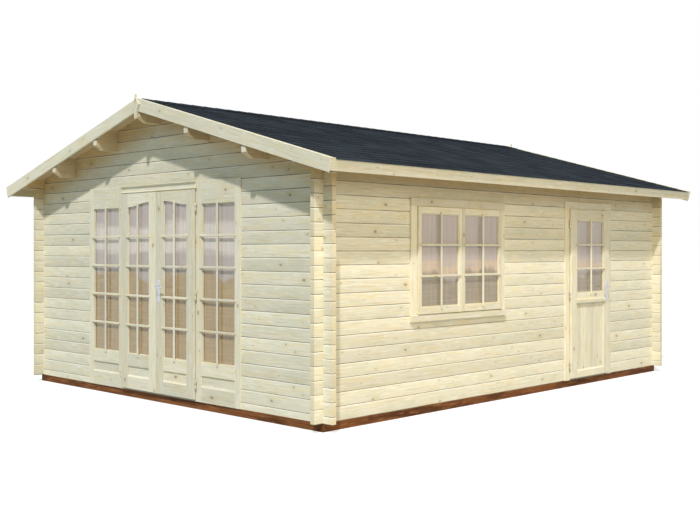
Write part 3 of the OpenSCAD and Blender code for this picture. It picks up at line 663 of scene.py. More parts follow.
class Piece:
    """Mesh made of solids, each with its own grain direction and seed."""

    def __init__(self, name, place=None):
        self.name = name
        self.place = place or Matrix.Identity(4)
        self.random = random.Random(name)
        self.points, self.faces, self.smooth = [], [], []
        self.grain, self.seeds, self.ends = [], [], []

    def add(self, points, faces, along="X", across="Y", ends=None, smooth=False):
        """One solid: its points, its faces, the way of its grain and which points are on end grain."""
        start = len(self.points)
        points = [Vector(p) for p in points]
        low, high = corners(points)
        middle = (low + high) / 2
        way = direction(along)
        wide = direction(across)
        deep = way.cross(wide)
        shift = self.random.uniform(0, GRAIN_SHIFT)
        seed = self.random.random()
        for p in points:
            offset = p - middle
            self.grain.append((offset.dot(way) + shift, offset.dot(wide), offset.dot(deep)))
        self.points += points
        self.seeds += [seed] * len(points)
        self.ends += ends or [0.0] * len(points)
        self.faces += [[start + i for i in face] for face in faces]
        self.smooth += [smooth] * len(faces)

    def prism(self, outline, span, axes, ease=EASE, along=None, across=None):
        """Outline pushed along the third of three axes, with the edges of its ends eased."""
        u, v, w = (direction(a) for a in axes)
        start, end = span
        small = inset(outline, ease)
        rings = [(small, start), (outline, start + ease), (outline, end - ease), (small, end)]
        points = [u * p[0] + v * p[1] + w * at for ring, at in rings for p in ring]
        n = len(outline)
        caps = [1.0] * n + [0.0] * (2 * n) + [1.0] * n
        faces = ring_faces(len(rings), n)
        self.add(points, faces, along or w, across or v, None if along else caps)

    def board(self, low, high, way, ease=EASE):
        """Board between two corners with all its edges eased and its grain along an axis."""
        a, b, c = ("XYZ".index(axis) for axis in SECTION_AXES[way])
        outline = eased_box(low[a], low[b], high[a], high[b], ease)
        wide = SECTION_AXES[way][0 if high[a] - low[a] > high[b] - low[b] else 1]
        self.prism(outline, (low[c], high[c]), SECTION_AXES[way], ease, None, wide)

    def boards(self, low, high, way, spread, count, share=1.0, ease=EASE):
        """Row of boards along the spread axis, each as wide as a share of its step."""
        i = "XYZ".index(spread)
        step = (high[i] - low[i]) / count
        for k in range(count):
            start, end = Vector(low), Vector(high)
            start[i] = low[i] + step * (k + (1 - share) / 2)
            end[i] = start[i] + step * share
            self.board(start, end, way, ease)

    def turned(self, profile, foot, axis, steps=24):
        """Solid turned about an axis, from (radius, height) pairs that start and end at radius 0."""
        w = direction(axis)
        u = w.orthogonal().normalized()
        v = w.cross(u)
        foot = Vector(foot)
        (_, low), *rings, (_, high) = profile
        points = [foot + w * height + p for r, height in rings for p in circle(u, v, r, steps)]
        points += [foot + w * low, foot + w * high]
        last = (len(rings) - 1) * steps
        faces = ring_faces(len(rings), steps)[2:]
        for k in range(steps):
            j = (k + 1) % steps
            faces += [[len(points) - 2, j, k], [last + k, last + j, len(points) - 1]]
        self.add(points, faces, u, v, smooth=True)

    def tube(self, path, radii, steps=20):
        """Round bar along a path, closed at both ends."""
        path = [Vector(p) for p in path]
        points = []
        side = None
        for i, here in enumerate(path):
            way = (path[min(i + 1, len(path) - 1)] - path[max(i - 1, 0)]).normalized()
            side = way.orthogonal() if side is None else side - way * side.dot(way)
            side.normalize()
            points += [here + p for p in circle(side, way.cross(side), radii[i], steps)]
        self.add(points, ring_faces(len(path), steps), smooth=True)

    def done(self, slot, material, *nodes, body="house"):
        """Makes the object, which rides on a body and stands for the nodes."""
        mesh = bpy.data.meshes.new(self.name)
        faces = self.faces
        if self.place.determinant() < 0:
            faces = [face[::-1] for face in faces]
        mesh.from_pydata([self.place @ p for p in self.points], [], faces)
        for name, kind, field, values in (
            ("grain", "FLOAT_VECTOR", "vector", [c for g in self.grain for c in g]),
            ("seed", "FLOAT", "value", self.seeds),
            ("end", "FLOAT", "value", self.ends),
        ):
            mesh.attributes.new(name, kind, "POINT").data.foreach_set(field, values)
        mesh.polygons.foreach_set("use_smooth", self.smooth)
        mesh.materials.append(material)
        mesh.update()
        made = put(self.name, mesh)
        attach(made, body)
        if nodes:
            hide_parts(*nodes)


def dress(material, *nodes):
    """Gives CAD nodes a material in place of their plain one."""
    for node in nodes:
        slots = frame["nodes"][node].data.materials
        slots.clear()
        slots.append(material)


def solids(node):
    """Boxes of the separate solids in a CAD node, in the order of their lowest corners."""
    mesh = frame["nodes"][node].data
    keys = [tuple(round(c, 5) for c in vertex.co) for vertex in mesh.vertices]
    groups = []
    for polygon in mesh.polygons:
        face = {keys[i] for i in polygon.vertices}
        apart = [group for group in groups if group.isdisjoint(face)]
        touching = [group for group in groups if not group.isdisjoint(face)]
        groups = apart + [face.union(*touching)]
    return sorted(map(corners, groups), key=lambda box: tuple(box[0]))


def in_place(place, box):
    """Corners of a box of the frame as a place sees it."""
    return corners([place.inverted() @ corner for corner in box])


def local(place, node):
    return in_place(place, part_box(node))


def joint_place(name):
    return Vector(next(j for j in frame["joints"] if j["name"] == name)["pos_m"])


# Places: the front wall, its mirror image, the right-hand wall and the two roof slopes
AT_FRONT = Matrix.Translation((0, FRONT_FACE, BASE_TOP))
AT_FRONT_LEFT = AT_FRONT @ Matrix.Scale(-1, 4, (1, 0, 0))
AT_RIGHT = Matrix.Translation((RIGHT_FACE, 0, BASE_TOP)) @ Matrix.Rotation(math.radians(90), 4, "Z")
ROOF_RIGHT = Matrix.Translation((0, 0, RIDGE_Z)) @ Matrix.Rotation(ROOF_PITCH, 4, "Y")
ROOF_LEFT = Matrix.Rotation(math.pi, 4, "Z") @ ROOF_RIGHT

# Materials
SIDE_LOGS = wood("side_logs", log_grain("Y", RIGHT_FACE, 0.0, "side_logs"), SPRUCE, logs=True)
END_LOGS = wood("end_logs", log_grain("X", abs(FRONT_FACE), 0.5, "end_logs"), SPRUCE, logs=True)
# Purlin sides painted as shade and their ends painted pale as lit
PURLIN_WOOD = wood("purlin_wood", purlin_grain, PURLIN, knot_spread=0.15)
FINIAL_WOOD = wood("finial_wood", finial_grain, PLANED, knot_share=0.2)
PLANED_WOOD = wood("planed_wood", board_grain, PLANED, knot_step=0.42, knot_spread=0.08)
PLANK_WOOD = wood("plank_wood", board_grain, SPRUCE, knot_step=0.36, knot_spread=0.07)
# The roof boards take the darker wood that paints the shade under the roof
SOFFIT_WOOD = wood("soffit_wood", board_grain, SOFFIT, knot_step=0.36, knot_spread=0.07)
SIDE_BEAM_WOOD = wood("side_beam_wood", beam_grain("Y", "side_beams"), TREATED, knot_share=0.3, shine=0.1)
END_BEAM_WOOD = wood("end_beam_wood", beam_grain("X", "end_beams"), TREATED, knot_share=0.3, shine=0.1)
FELT = shingle_felt()
GLASS = painted_reflection_glass()
HINGE_STEEL = metal("hinge_steel", (0.60, 0.55, 0.41), 0.42, "Z")
HANDLE_METAL = metal("handle_metal", (0.66, 0.67, 0.76), 0.26, "Z")
# Near-black metal for the keyholes, painted as the shade inside the hole
KEYHOLE_PAINTED_SHADE = metal("keyhole_painted_shade", (0.06, 0.06, 0.065), 0.45, "Z")
THRESHOLD_METAL = metal("threshold_metal", (0.25, 0.25, 0.20), 0.40, "X")


def joinery(piece, *nodes, body="house"):
    """Finishes a piece of planed wood."""
    piece.done("joinery_wood", PLANED_WOOD, *nodes, body=body)


# Logs, base and other CAD nodes that keep their shape

def dress_frame():
    dress(SIDE_LOGS, "left_wall", "eave_logs", *(
        "right_wall_" + part for part in ("lower", "front", "middle", "rear", "top")
    ))
    dress(END_LOGS, "back_wall", "front_wall_left", "front_wall_right", "front_gable")
    dress(PURLIN_WOOD, "purlins")
    dress(FINIAL_WOOD, "finials")
    dress(SIDE_BEAM_WOOD, "base_side_beams")
    dress(END_BEAM_WOOD, "base_end_beams", "floor_joists")
    dress(GLASS, "window_glass", "front_door_left_glass", "front_door_right_glass", "side_door_glass")


# Floor and roof

PLANK_W = 0.09
ROOF_PLANK_W = 0.10
SHINGLE_ROW = 0.145
SHINGLE_TAB = 0.25
SHINGLE_T = 0.0034
SHINGLE_SLOT = 0.006
SHINGLE_LAP = 0.02
UNDERLAY_T = 0.0006
BARGE_GAP = 0.001
TRIM_T = 0.018
COVER_STRIP_H = 0.008


def floor_planks():
    low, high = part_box("floor")
    piece = Piece("floor_planks")
    piece.boards(low, high, "Y", "X", round((high.x - low.x) / PLANK_W))
    piece.done("floor_wood", PLANK_WOOD, "floor")


def roof_planks(side, place):
    """Boards from ridge to eave, laid side by side, with eased edges that show below."""
    low, high = local(place, "roof_boards_" + side)
    piece = Piece("roof_planks_" + side, place)
    count = round((high.y - low.y) / ROOF_PLANK_W)
    run = slope_length("roof_boards_" + side)
    piece.boards((0, low.y, 0), (run, high.y, ROOF_BOARD_T), "X", "Y", count)
    piece.done("log_wood", SOFFIT_WOOD, "roof_boards_" + side)


def slope_length(node):
    """Length down the slope of a sheet whose box starts at the ridge."""
    low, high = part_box(node)
    reach = max(abs(low.x), abs(high.x))
    return (reach - ROOF_BOARD_T * math.sin(ROOF_PITCH)) / math.cos(ROOF_PITCH)


def shingle(piece, u0, u1, v0, v1, lapped):
    """Tab whose lower end lies on the row below, if it laps one."""
    rise = SHINGLE_T if lapped else 0.0
    base = ROOF_BOARD_T + UNDERLAY_T
    outline = ((v0, 0.0), (v1, 0.0), (v1, SHINGLE_T), (v0, SHINGLE_T))
    points = [(u, v, base + step + lift) for u, step in ((u0, 0.0), (u1, rise)) for v, lift in outline]
    piece.add(points, ring_faces(2, len(outline)))


def roof_shingles(side, place):
    """Rows of shingle tabs from the eave up, every other row set half a tab along."""
    low, high = local(place, "roofing_" + side)
    run = slope_length("roofing_" + side)
    piece = Piece("roof_shingles_" + side, place)
    underlay = ROOF_BOARD_T + UNDERLAY_T
    piece.board((0, low.y, ROOF_BOARD_T), (run, high.y, underlay), "Y", UNDERLAY_T / 4)
    rows = math.ceil(run / SHINGLE_ROW)
    for row in range(rows):
        foot = run - row * SHINGLE_ROW
        head = max(foot - SHINGLE_ROW - SHINGLE_LAP, 0.0)
        start = low.y - (SHINGLE_TAB / 2 if row % 2 else 0.0)
        for k in range(math.ceil((high.y - start) / SHINGLE_TAB)):
            v0 = max(start + k * SHINGLE_TAB + SHINGLE_SLOT / 2, low.y)
            v1 = min(start + (k + 1) * SHINGLE_TAB - SHINGLE_SLOT / 2, high.y)
            if v1 > v0:
                shingle(piece, head, foot, v0, v1, row > 0)
    piece.done("roof_covering", FELT, "roofing_" + side)


def ridge_shingles():
    """Short strips bent over the ridge, each lapping the one behind it."""
    low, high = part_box("ridge_cap")
    piece = Piece("ridge_shingles")
    foot = RIDGE_Z + (ROOF_BOARD_T + UNDERLAY_T + SHINGLE_T * 2) / math.cos(ROOF_PITCH)
    outline = [(x, -abs(x) * ROOF_SLOPE) for x in (-high.x, 0.0, high.x)]
    outline += [(x, z + SHINGLE_T) for x, z in outline[::-1]]
    count = round((high.y - low.y) / SHINGLE_ROW)
    step = (high.y - low.y) / count
    for k in range(count):
        y0 = low.y + k * step
        y1 = min(y0 + step + SHINGLE_LAP, high.y)
        points = [(x, y, foot + z + lift) for y, lift in ((y1, 0.0), (y0, SHINGLE_T)) for x, z in outline]
        piece.add(points, ring_faces(2, len(outline)), "Y", "X")
    piece.done("roof_covering", FELT, "ridge_cap")


def roof_edge_boards(side, place):
    """Bargeboards with cover strips, cut plumb at the ridge, and the board along the eave."""
    run = slope_length("fascias")
    eave_z = RIDGE_Z - run * math.sin(ROOF_PITCH)
    low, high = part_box("bargeboards_front")
    foot = (low.z - eave_z) / math.cos(ROOF_PITCH)
    barge = Piece("bargeboards_" + side, place)
    strip_top = ROOF_BOARD_T + COVER_STRIP_H
    for start, end, depth in ((foot, ROOF_BOARD_T, TRIM_T), (ROOF_BOARD_T, strip_top, high.y - low.y)):
        outline = [
            (BARGE_GAP - start * ROOF_SLOPE, start), (run, start),
            (run, end), (BARGE_GAP - end * ROOF_SLOPE, end),
        ]
        for span in ((-low.y - depth, -low.y), (low.y, low.y + depth)):
            barge.prism(outline, span, FACE_ON, EASE, "X", "Z")
    joinery(barge, "bargeboards_front", "bargeboards_back")

    low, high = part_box("fascias")
    foot = (low.z - eave_z) / math.cos(ROOF_PITCH)
    eave = Piece("eave_board_" + side, place)
    eave.board((run - TRIM_T, low.y, foot), (run, high.y, ROOF_BOARD_T), "Y")
    joinery(eave, "fascias")


# Windows and doors

def layer(piece, outer, glass, rails, y0, y1):
    """Two stiles and the rails between them, from y0 to y1. Boxes are (x0, z0, x1, z1)."""
    x0, z0, x1, z1 = outer
    g0, g1 = glass
    piece.board((x0, y0, z0), (g0, y1, z1), "Z")
    piece.board((g1, y0, z0), (x1, y1, z1), "Z")
    for low, high in rails:
        piece.board((g0, y0, max(low, z0)), (g1, y1, min(high, z1)), "X")


def lattice(piece, glass, rows, face, way, top=None):
    """Upright glazing bar and cross bars, planted on one face of a frame and lapping it."""
    x0, z0, x1, z1 = glass
    half = BAR_W / 2
    middle = (x0 + x1) / 2
    head = top(middle) if top else z1
    y0, y1 = sorted((face, face + way * BAR_T))
    piece.board((middle - half, y0, z0 - BAR_LAP), (middle + half, y1, head + BAR_LAP), "Z", BAR_EASE)
    y0, y1 = sorted((face, face + way * (BAR_T - BAR_SET_BACK)))
    for k in range(1, rows):
        z = z0 + (z1 - z0) * k / rows
        piece.board((x0 - BAR_LAP, y0, z - half), (x1 + BAR_LAP, y1, z + half), "X", BAR_EASE)


def beads(piece, glass, pane, arched=False):
    """Strips that hold a pane on both sides, down its edges and along its foot and head."""
    x0, z0, x1, z1 = glass
    for y0, y1 in ((pane[0] - BEAD, pane[0]), (pane[1], pane[1] + BEAD)):
        for x in (x0, x1 - BEAD):
            piece.board((x, y0, z0), (x + BEAD, y1, z1), "Z")
        heads = (z0,) if arched else (z0, z1 - BEAD)
        for z in heads:
            piece.board((x0 + BEAD, y0, z), (x1 - BEAD, y1, z + BEAD), "X")


def glaze(piece, pane, rows, faces, head=None, top=None):
    """Beads round a pane and glazing bars on both faces of its frame, under a curved top if given."""
    (x0, y0, z0), (x1, y1, z1) = pane
    glass = (x0, z0, x1, head or z1)
    beads(piece, glass, (y0, y1), arched=bool(top))
    for face, way in zip(faces, (-1, 1)):
        lattice(piece, glass, rows, face, way, top)


def lower_panel(piece, x0, x1, z0, z1, face, boards=1):
    """Panel set back from the frame's face, with a bevel at its foot that sheds water."""
    back = face + PANEL_DEPTH
    piece.boards((x0, back, z0), (x1, back + PANEL_T, z1), "Z" if boards > 1 else "X", "X", boards)
    bevel = [(face + EASE, z0), (back, z0), (back, z0 + PANEL_BEVEL)]
    piece.prism(bevel, (x0, x1), "YZX", EASE / 3)


def side_window(side, place, pane):
    """Fixed window beside the front doors: a face that laps the logs and a body in the opening."""
    low, high = local(AT_FRONT, "side_window_right")
    pane = in_place(AT_FRONT, pane)
    x0, x1 = pane[0].x, pane[1].x
    open_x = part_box("front_wall_right")[0].x
    rails = [(0, PANEL_FOOT), (PANEL_TOP, pane[0].z), (pane[1].z, high.z)]
    piece = Piece("side_window_" + side + "_joinery", place)
    layer(piece, (low.x, 0, high.x, high.z), (x0, x1), rails, low.y, 0)
    layer(piece, (low.x, 0, open_x, FRONT_OPEN_Z), (x0, x1), rails, 0, high.y)
    lower_panel(piece, x0, x1, PANEL_FOOT, PANEL_TOP, low.y)
    glaze(piece, pane, FRONT_ROWS, (low.y, high.y))
    joinery(piece, "side_window_" + side)


def front_door(side, place, pane_top):
    """Leaf of the double door: a lip over a body, with glass that swings up to the middle."""
    low, high = local(AT_FRONT, "front_door_right")
    pane = local(AT_FRONT, "front_door_right_glass")
    x0, x1 = pane[0].x, pane[1].x
    rise = pane[1].z - pane_top

    def swing(x):
        return pane_top + rise * (1 + math.cos(math.pi * (x - x0) / (x1 - x0))) / 2

    curve = [x0 + (x1 - x0) * k / ARCH_STEPS for k in range(ARCH_STEPS + 1)]
    arch = [(x, swing(x)) for x in curve]
    rails = [(low.z, PANEL_FOOT), (PANEL_TOP, pane[0].z)]
    lip_back = low.y + LEAF_LIP
    edge = high.x - LEAF_REBATE
    head = high.z - LEAF_REBATE
    piece = Piece("front_door_" + side + "_joinery", place)
    layer(piece, (low.x, low.z, high.x, high.z), (x0, x1), rails, low.y, lip_back)
    layer(piece, (low.x, low.z, edge, head), (x0, x1), rails, lip_back, high.y)
    for top, start, end in ((high.z, low.y, lip_back), (head, lip_back, high.y)):
        outline = arch + [(x1, top), (x0, top)]
        piece.prism(outline, (-end, -start), FACE_ON, EASE, "X", "Z")
    lower_panel(piece, x0, x1, PANEL_FOOT, PANEL_TOP, low.y)
    glaze(piece, pane, FRONT_ROWS, (low.y, high.y), pane_top, swing)
    joinery(piece, "front_door_" + side, body="front_" + side + "_leaf")


def front_cornice():
    """Rail over the leaves, with a bead, a flat and a hollow up to its crown."""
    low, high = local(AT_FRONT, "front_door_head")
    rail_half, face_back, _ = local(AT_FRONT, "side_window_right")[0]
    foot = local(AT_FRONT, "front_door_right")[1].z + CORNICE_GAP
    crown = low.y
    flat = crown + CROWN_REACH
    hollow = CROWN_REACH - EASE
    profile = [(face_back, foot), (face_back, high.z), (crown, high.z), (crown, high.z - CROWN_H)]
    profile += arc((crown + EASE, high.z - CROWN_H - hollow), hollow, 90, 0, steps=6)
    profile += arc((flat, foot + CORNICE_BEAD), CORNICE_BEAD, 90, 270, steps=10)
    piece = Piece("front_door_cornice", AT_FRONT)
    piece.board((-rail_half, face_back, low.z), (rail_half, high.y, FRONT_OPEN_Z), "X")
    piece.prism(profile, (low.x, high.x), "YZX")
    joinery(piece, "front_door_head")


def thresholds():
    """Ribbed sills under the doors."""
    piece = Piece("threshold_ribs")
    for low, high in solids("thresholds"):
        piece.board(low, (high.x, high.y, high.z - RIB_H), "X", EASE / 2)
        way, spread = "XY" if high.x - low.x > high.y - low.y else "YX"
        foot = (low.x, low.y, high.z - RIB_H)
        piece.boards(foot, high, way, spread, RIB_COUNT, RIB_SHARE, EASE / 2)
    piece.done("threshold", THRESHOLD_METAL, "thresholds")


def window_frame(sash_low, sash_high):
    """Trim boards and a sill board on the logs, and a frame in the opening behind them."""
    low, high = local(AT_RIGHT, "window_frame")
    left, right = sash_low.x - SASH_GAP, sash_high.x + SASH_GAP
    foot, head = sash_low.z - SASH_GAP, sash_high.z + SASH_GAP
    piece = Piece("window_frame_joinery", AT_RIGHT)
    for x0, x1 in ((low.x, left), (right, high.x)):
        piece.board((x0, -WINDOW_TRIM_T, foot), (x1, 0, head), "Z")
    for z0, z1 in ((head, high.z), (low.z, foot)):
        piece.board((low.x, -WINDOW_TRIM_T, z0), (high.x, 0, z1), "X")
    sill = [
        (-WINDOW_TRIM_T, low.z), (-WINDOW_TRIM_T, foot),
        (low.y + EASE, foot - SILL_FALL), (low.y, foot - SILL_FALL - EASE),
        (low.y, low.z + EASE), (low.y + EASE, low.z),
    ]
    piece.prism(sill, (low.x, high.x), "YZX")
    open_x = (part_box("right_wall_front")[1].y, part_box("right_wall_middle")[0].y)
    open_z = (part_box("right_wall_lower")[1].z - BASE_TOP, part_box("right_wall_top")[0].z - BASE_TOP)
    rebate = (sash_low.x + LEAF_LAP, sash_high.x - LEAF_LAP)
    rails = [(open_z[0], sash_low.z + LEAF_LAP), (sash_high.z - LEAF_LAP, open_z[1])]
    layer(piece, (open_x[0], open_z[0], open_x[1], open_z[1]), rebate, rails, 0, high.y)
    joinery(piece, "window_frame")


def window(panes):
    """Casement window: its frame and two sashes."""
    sashes = [in_place(AT_RIGHT, box) for box in solids("window_sashes")]
    window_frame(sashes[0][0], sashes[-1][1])
    piece = Piece("window_sash_joinery", AT_RIGHT)
    for (low, high), pane in zip(sashes, panes):
        pane = in_place(AT_RIGHT, pane)
        rails = [(low.z, pane[0].z), (pane[1].z, high.z)]
        outer = (low.x, low.z, high.x, high.z)
        layer(piece, outer, (pane[0].x, pane[1].x), rails, low.y, high.y)
        glaze(piece, pane, WINDOW_ROWS, (low.y, high.y))
    joinery(piece, "window_sashes")


def side_door_frame():
    """Jambs and head of the side door: a face that laps the logs and a body in the opening."""
    open_x = (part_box("right_wall_middle")[1].y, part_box("right_wall_rear")[0].y)
    jambs = Piece("side_door_jamb_boards", AT_RIGHT)
    for box in solids("side_door_jambs"):
        low, high = in_place(AT_RIGHT, box)
        jambs.board((low.x, low.y, 0), (high.x, 0, high.z), "Z")
        jambs.board((max(low.x, open_x[0]), 0, 0), (min(high.x, open_x[1]), high.y, high.z), "Z")
    joinery(jambs, "side_door_jambs")
    low, high = local(AT_RIGHT, "side_door_head")
    head = Piece("side_door_head_board", AT_RIGHT)
    head.board((low.x, low.y, low.z), (high.x, 0, high.z), "X")
    lap = open_x[0] - low.x
    head.board((open_x[0], 0, low.z), (open_x[1], high.y, high.z - lap), "X")
    joinery(head, "side_door_head")


def side_door():
    """Half-glazed leaf: glass over a drip board, and upright boards below."""
    low, high = local(AT_RIGHT, "side_door")
    face = local(AT_FRONT, "front_door_right")[0].y
    pane = local(AT_RIGHT, "side_door_glass")
    x0, x1 = pane[0].x, pane[1].x
    lip_back = face + LEAF_LIP
    rails = [(low.z, SIDE_PANEL_FOOT), (SIDE_PANEL_TOP, pane[0].z), (pane[1].z, high.z)]
    piece = Piece("side_door_joinery", AT_RIGHT)
    layer(piece, (low.x, low.z, high.x, high.z), (x0, x1), rails, face, lip_back)
    inner = (low.x + LEAF_REBATE, low.z, high.x - LEAF_REBATE, high.z - LEAF_REBATE)
    layer(piece, inner, (x0, x1), rails, lip_back, high.y)
    lower_panel(piece, x0, x1, SIDE_PANEL_FOOT, SIDE_PANEL_TOP, face, SIDE_BOARDS)
    nose = face - low.y
    drip = [(face, SIDE_PANEL_TOP)]
    drip += [
        (face + nose * y, SIDE_PANEL_TOP + DRIP_H * (1 + z) / 2)
        for y, z in arc((0, 0), 1, 90, 180, steps=8)
    ]
    drip += [(low.y, SIDE_PANEL_TOP)]
    piece.prism(drip, (x0 - DRIP_LAP, x1 + DRIP_LAP), "YZX")
    glaze(piece, pane, WINDOW_ROWS, (face, high.y))
    joinery(piece, "side_door", body="side_leaf")


# Ironmongery

def knuckle(foot, top, radius):
    """Profile of a short round bar with eased ends."""
    ease = radius * KNUCKLE_EASE
    return [
        (0, foot), (radius - ease, foot), (radius, foot + ease), (radius, top - ease),
        (radius - ease, top), (0, top),
    ]


def hinge_arms(axis, low, high, on_side):
    """Corners in plan of the arm on a leaf and of the plate on the frame."""
    half = HINGE_ARM / 2
    if on_side:
        arm = (axis.x - half, axis.y), (axis.x + half, high.y)
        plate = (RIGHT_FACE - FRAME_FACE, axis.y - half), (axis.x, axis.y + half)
    else:
        x0, x1 = sorted((axis.x, low.x if axis.x > 0 else high.x))
        arm = (x0, axis.y - half), (x1, axis.y + half)
        plate = (axis.x - half, axis.y), (axis.x + half, FRONT_FACE + FRAME_FACE)
    return arm, plate


def hinge(upper, lower, axis, low, high, on_side):
    """Two barrels with caps, one over the other, each with an arm."""
    radius = min(axis.y - low.y, high.x - axis.x, HINGE_R)
    length = high.z - low.z
    at = Vector((axis.x, axis.y, low.z))
    cap = [(radius * share, length + lift) for share, lift in HINGE_CAP]
    upper.turned(knuckle(HINGE_LIFT, length, HINGE_R), at, "Z")
    upper.turned(cap, at, "Z")
    lower.turned(knuckle(-length, -HINGE_DROP, HINGE_R), at, "Z")
    lower.turned([(r, -h) for r, h in cap][::-1], at, "Z")
    arms = hinge_arms(axis, low, high, on_side)
    for piece, (start, end), foot in zip((upper, lower), arms, (low.z, low.z - length)):
        z0 = foot + HINGE_ARM_INSET
        z1 = foot + length - HINGE_ARM_INSET
        piece.board((*start, z0), (*end, z1), "Z", HINGE_EASE)


def hinges():
    """Barrel hinges: the upper half on the leaf, the lower half with its foot on the frame."""
    lower = Piece("frame_hinge_barrels")
    for node, joint, body in (
        ("front_left_hinges", "front_left_hinge", "front_left_leaf"),
        ("front_right_hinges", "front_right_hinge", "front_right_leaf"),
        ("side_door_hinges", "side_hinge", "side_leaf"),
    ):
        upper = Piece(node + "_barrels")
        for low, high in solids(node):
            hinge(upper, lower, joint_place(joint), low, high, body == "side_leaf")
        upper.done("hinge_steel", HINGE_STEEL, node, body=body)
    lower.done("hinge_steel", HINGE_STEEL, "frame_hinges")


def handle_plates(name, place, axis, leaf_body):
    """Long plates on both faces of a leaf, with a rose, screws and a keyhole, the keyhole a near-black
    inlay painted as the shade in its hole.
    """
    plates = Piece(name + "_backplates", place)
    keys = Piece(name + "_keyholes", place)
    for box in solids(name + "_plates"):
        low, high = in_place(place, box)
        radius = (high.x - low.x) / 2
        middle = (low.x + high.x) / 2
        outward = -1 if low.y < 0 else 1
        face = low.y if outward < 0 else high.y
        out = AXES["Y"] * outward
        outline = arc((middle, low.z + radius), radius, 180, 360, steps=14)
        outline += arc((middle, high.z - radius), radius, 0, 180, steps=14)
        plates.prism(outline, (-high.y, -low.y), FACE_ON, PLATE_EASE)
        plates.turned(knuckle(-PLATE_SINK, ROSE_H, ROSE_R), (axis.x, face, axis.z), out)
        for z in (low.z + SCREW_INSET, high.z - SCREW_INSET):
            plates.turned(knuckle(-PLATE_SINK, SCREW_H, SCREW_R), (middle, face, z), out)
        lock = Vector((middle, face, axis.z - KEYHOLE_DROP))
        plates.turned(knuckle(-PLATE_SINK, LOCK_H, KEY_R + LOCK_RIM), lock, out)
        # The keyhole is a thin near-black inlay on the plate, painted as the shade in a hole
        bow = lock + AXES["Z"] * (KEY_R * 0.4)
        keys.turned(knuckle(-PLATE_SINK, KEYHOLE_H, KEY_R / 2), bow, out)
        y0, y1 = sorted((face, face + outward * KEYHOLE_H))
        slot_low = (middle - KEY_SLOT / 2, y0, lock.z - KEY_R)
        keys.board(slot_low, (middle + KEY_SLOT / 2, y1, lock.z), "Z", KEY_EASE)
    plates.done("handle_metal", HANDLE_METAL, name + "_plates", body=leaf_body)
    keys.done("handle_metal", KEYHOLE_PAINTED_SHADE, body=leaf_body)


def lever_grip(axis, root, grip, reach, way):
    """Path and radii of a grip: out from its root, round a bend and along to a rounded tip."""
    outward = -1 if grip < axis.y else 1
    path = [(axis.x, root, axis.z)]
    path += [
        (axis.x + way * (LEVER_BEND - x), grip - outward * (LEVER_BEND - y), axis.z)
        for x, y in arc((0, 0), LEVER_BEND, 0, 90, steps=8)
    ]
    radii = [LEVER_NECK_R] * len(path)
    for share in LEVER_SHARES:
        path.append((axis.x + way * (LEVER_BEND + (reach - LEVER_BEND) * share), grip, axis.z))
        radii.append(LEVER_R * (1.0 - LEVER_TAPER * share))
    tip = radii[-1]
    for angle in map(math.radians, LEVER_TIP_ANGLES):
        path.append((axis.x + way * (reach + tip * math.sin(angle)), grip, axis.z))
        radii.append(tip * math.cos(angle))
    return path, radii


def handle(name, place, joint, leaf_body, lever_body, way):
    """Plates on both faces of a leaf, and a lever through them with a grip on each side."""
    axis = place.inverted() @ joint_place(joint)
    handle_plates(name, place, axis, leaf_body)
    low, high = local(place, name + "_lever")
    lever = Piece(name + "_lever_bar", place)
    reach = (high.x - axis.x if way > 0 else axis.x - low.x) - LEVER_R
    roots = (axis.y - LEVER_ROOT, axis.y + LEVER_ROOT)
    for root, grip in zip(roots, (low.y + LEVER_R, high.y - LEVER_R)):
        lever.tube(*lever_grip(axis, root, grip, reach, way))
    lever.tube([(axis.x, root, axis.z) for root in roots], [SPINDLE_R] * 2)
    lever.done("handle_metal", HANDLE_METAL, name + "_lever", body=lever_body)


# Stage: pale floor, white backdrop, a soft sun and broad fills from the right and from behind

CAMERA_PLACE = (7.8535, -8.1543, 1.448)
CAMERA_TURN = math.radians(43.898)
CAMERA_LENS = 50.43
CAMERA_SHIFT = (-0.01414, -0.01786)
CAMERA_SENSOR = 36.0
CAMERA_FAR = 200.0
SKY_COLOUR = (0.70, 0.935, 1.0, 1.0)
SKY_STRENGTH = 0.318
SUN_ANGLE = math.radians(2.5)
# Lamps: name, kind, way, place, colour, power and spread
LAMPS = (
    ("sun", "SUN", (-0.355, 0.507, -0.786), (0, 0, 0), (1.0, 0.975, 0.995), 2.80, {"angle": SUN_ANGLE}),
    ("fill", "AREA", (-0.84, 0.22, -0.48), (9.0, -2.4, 5.0), (1.0, 0.777, 0.516), 310.0, {"size": 5.5}),
    ("back_fill", "AREA", (0.72, -0.68, -0.14), (-8.5, 8.0, 2.7), (1.0, 0.945, 0.80), 720.0, {"size": 3.6}),
)
FLOOR_HALF = 45.0
FLOOR_COLOUR = (0.45, 0.45, 0.445, 1.0)
FLOOR_GLOW = 0.60
FLOOR_ROUGHNESS = 0.9
WHITE = (1.0, 1.0, 1.0, 1.0)


def camera():
    data = bpy.data.cameras.new("camera")
    data.sensor_width = CAMERA_SENSOR
    data.lens = CAMERA_LENS
    data.shift_x, data.shift_y = CAMERA_SHIFT
    data.clip_end = CAMERA_FAR
    made = put("camera", data)
    made.location = CAMERA_PLACE
    made.rotation_euler = (math.radians(90), 0, CAMERA_TURN)
    bpy.context.scene.camera = made


def lamp(name, kind, way, place, colour, power, spread):
    data = bpy.data.lights.new(name, kind)
    data.color = colour
    data.energy = power
    for key, setting in spread.items():
        setattr(data, key, setting)
    made = put(name, data)
    made.location = place
    made.rotation_euler = Vector(way).to_track_quat("-Z", "Y").to_euler()


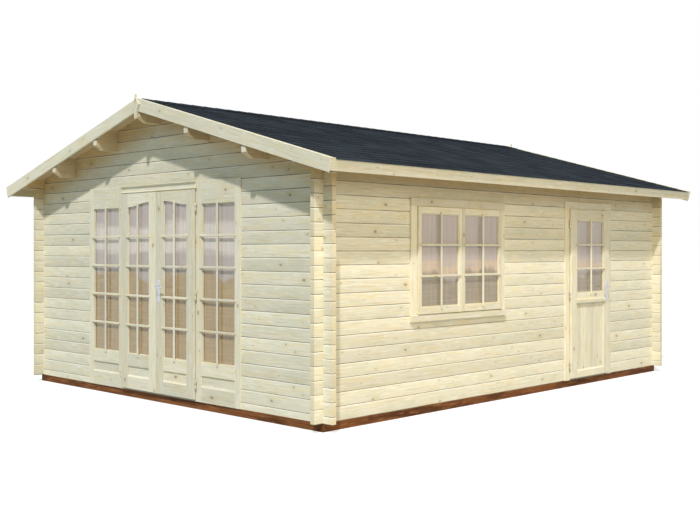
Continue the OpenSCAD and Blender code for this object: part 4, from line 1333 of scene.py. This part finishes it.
def seen_directly(s):
    """1 for rays from the camera, mirrors and glass, and 0 for those that carry light."""
    path = s.node("ShaderNodeLightPath", {})
    straight, mirrored, through = (
        Value(s, path.outputs[ray]) for ray in ("Is Camera Ray", "Is Glossy Ray", "Is Transmission Ray")
    )
    return s.math("MAXIMUM", s.math("MAXIMUM", through, mirrored), straight)


def sky():
    """Soft light from all round, with a white backdrop where the sky is seen directly."""
    world = bpy.data.worlds.new("studio")
    world.use_nodes = True
    bpy.context.scene.world = world
    s = Nodes(world.node_tree)
    background, output = (s.tree.nodes[name] for name in ("Background", "World Output"))
    s.fill(background, {"Color": SKY_COLOUR, "Strength": SKY_STRENGTH})
    soft = Value(s, background.outputs[0])
    white = s.value("ShaderNodeBackground", {"Color": WHITE, "Strength": 1.0})
    s.fill(output, {"Surface": s.value("ShaderNodeMixShader", {0: seen_directly(s), 1: soft, 2: white})})


def pale_floor():
    """Plain floor, which glows where it is seen directly so that it meets the backdrop."""
    mesh = bpy.data.meshes.new("floor_plane")
    points = [(x * FLOOR_HALF, y * FLOOR_HALF, 0) for x, y in ((-1, -1), (1, -1), (1, 1), (-1, 1))]
    mesh.from_pydata(points, [], [[0, 1, 2, 3]])
    s = Shader("pale_floor")
    s.surface({"Base Color": FLOOR_COLOUR, "Roughness": FLOOR_ROUGHNESS, "Specular IOR Level": 0.0})
    s.surface({"Emission Color": WHITE, "Emission Strength": seen_directly(s) * FLOOR_GLOW})
    mesh.materials.append(s.material)
    put("floor_plane", mesh)


def stage():
    bpy.context.scene.view_settings.view_transform = "Standard"
    sky()
    for settings in LAMPS:
        lamp(*settings)
    pale_floor()


camera()
stage()
dress_frame()
floor_planks()
for side, place in (("right", ROOF_RIGHT), ("left", ROOF_LEFT)):
    roof_planks(side, place)
    roof_shingles(side, place)
    roof_edge_boards(side, place)
ridge_shingles()
_, right_pane, *sash_panes = solids("window_glass")
for side, place in (("right", AT_FRONT), ("left", AT_FRONT_LEFT)):
    side_window(side, place, right_pane)
    front_door(side, place, right_pane[1].z - BASE_TOP)
front_cornice()
thresholds()
window(sash_panes)
side_door_frame()
side_door()
hinges()
handle("front_door", AT_FRONT, "front_lever_turn", "front_right_leaf", "front_lever", 1)
handle("side_door", AT_RIGHT, "side_lever_turn", "side_leaf", "side_lever", -1)
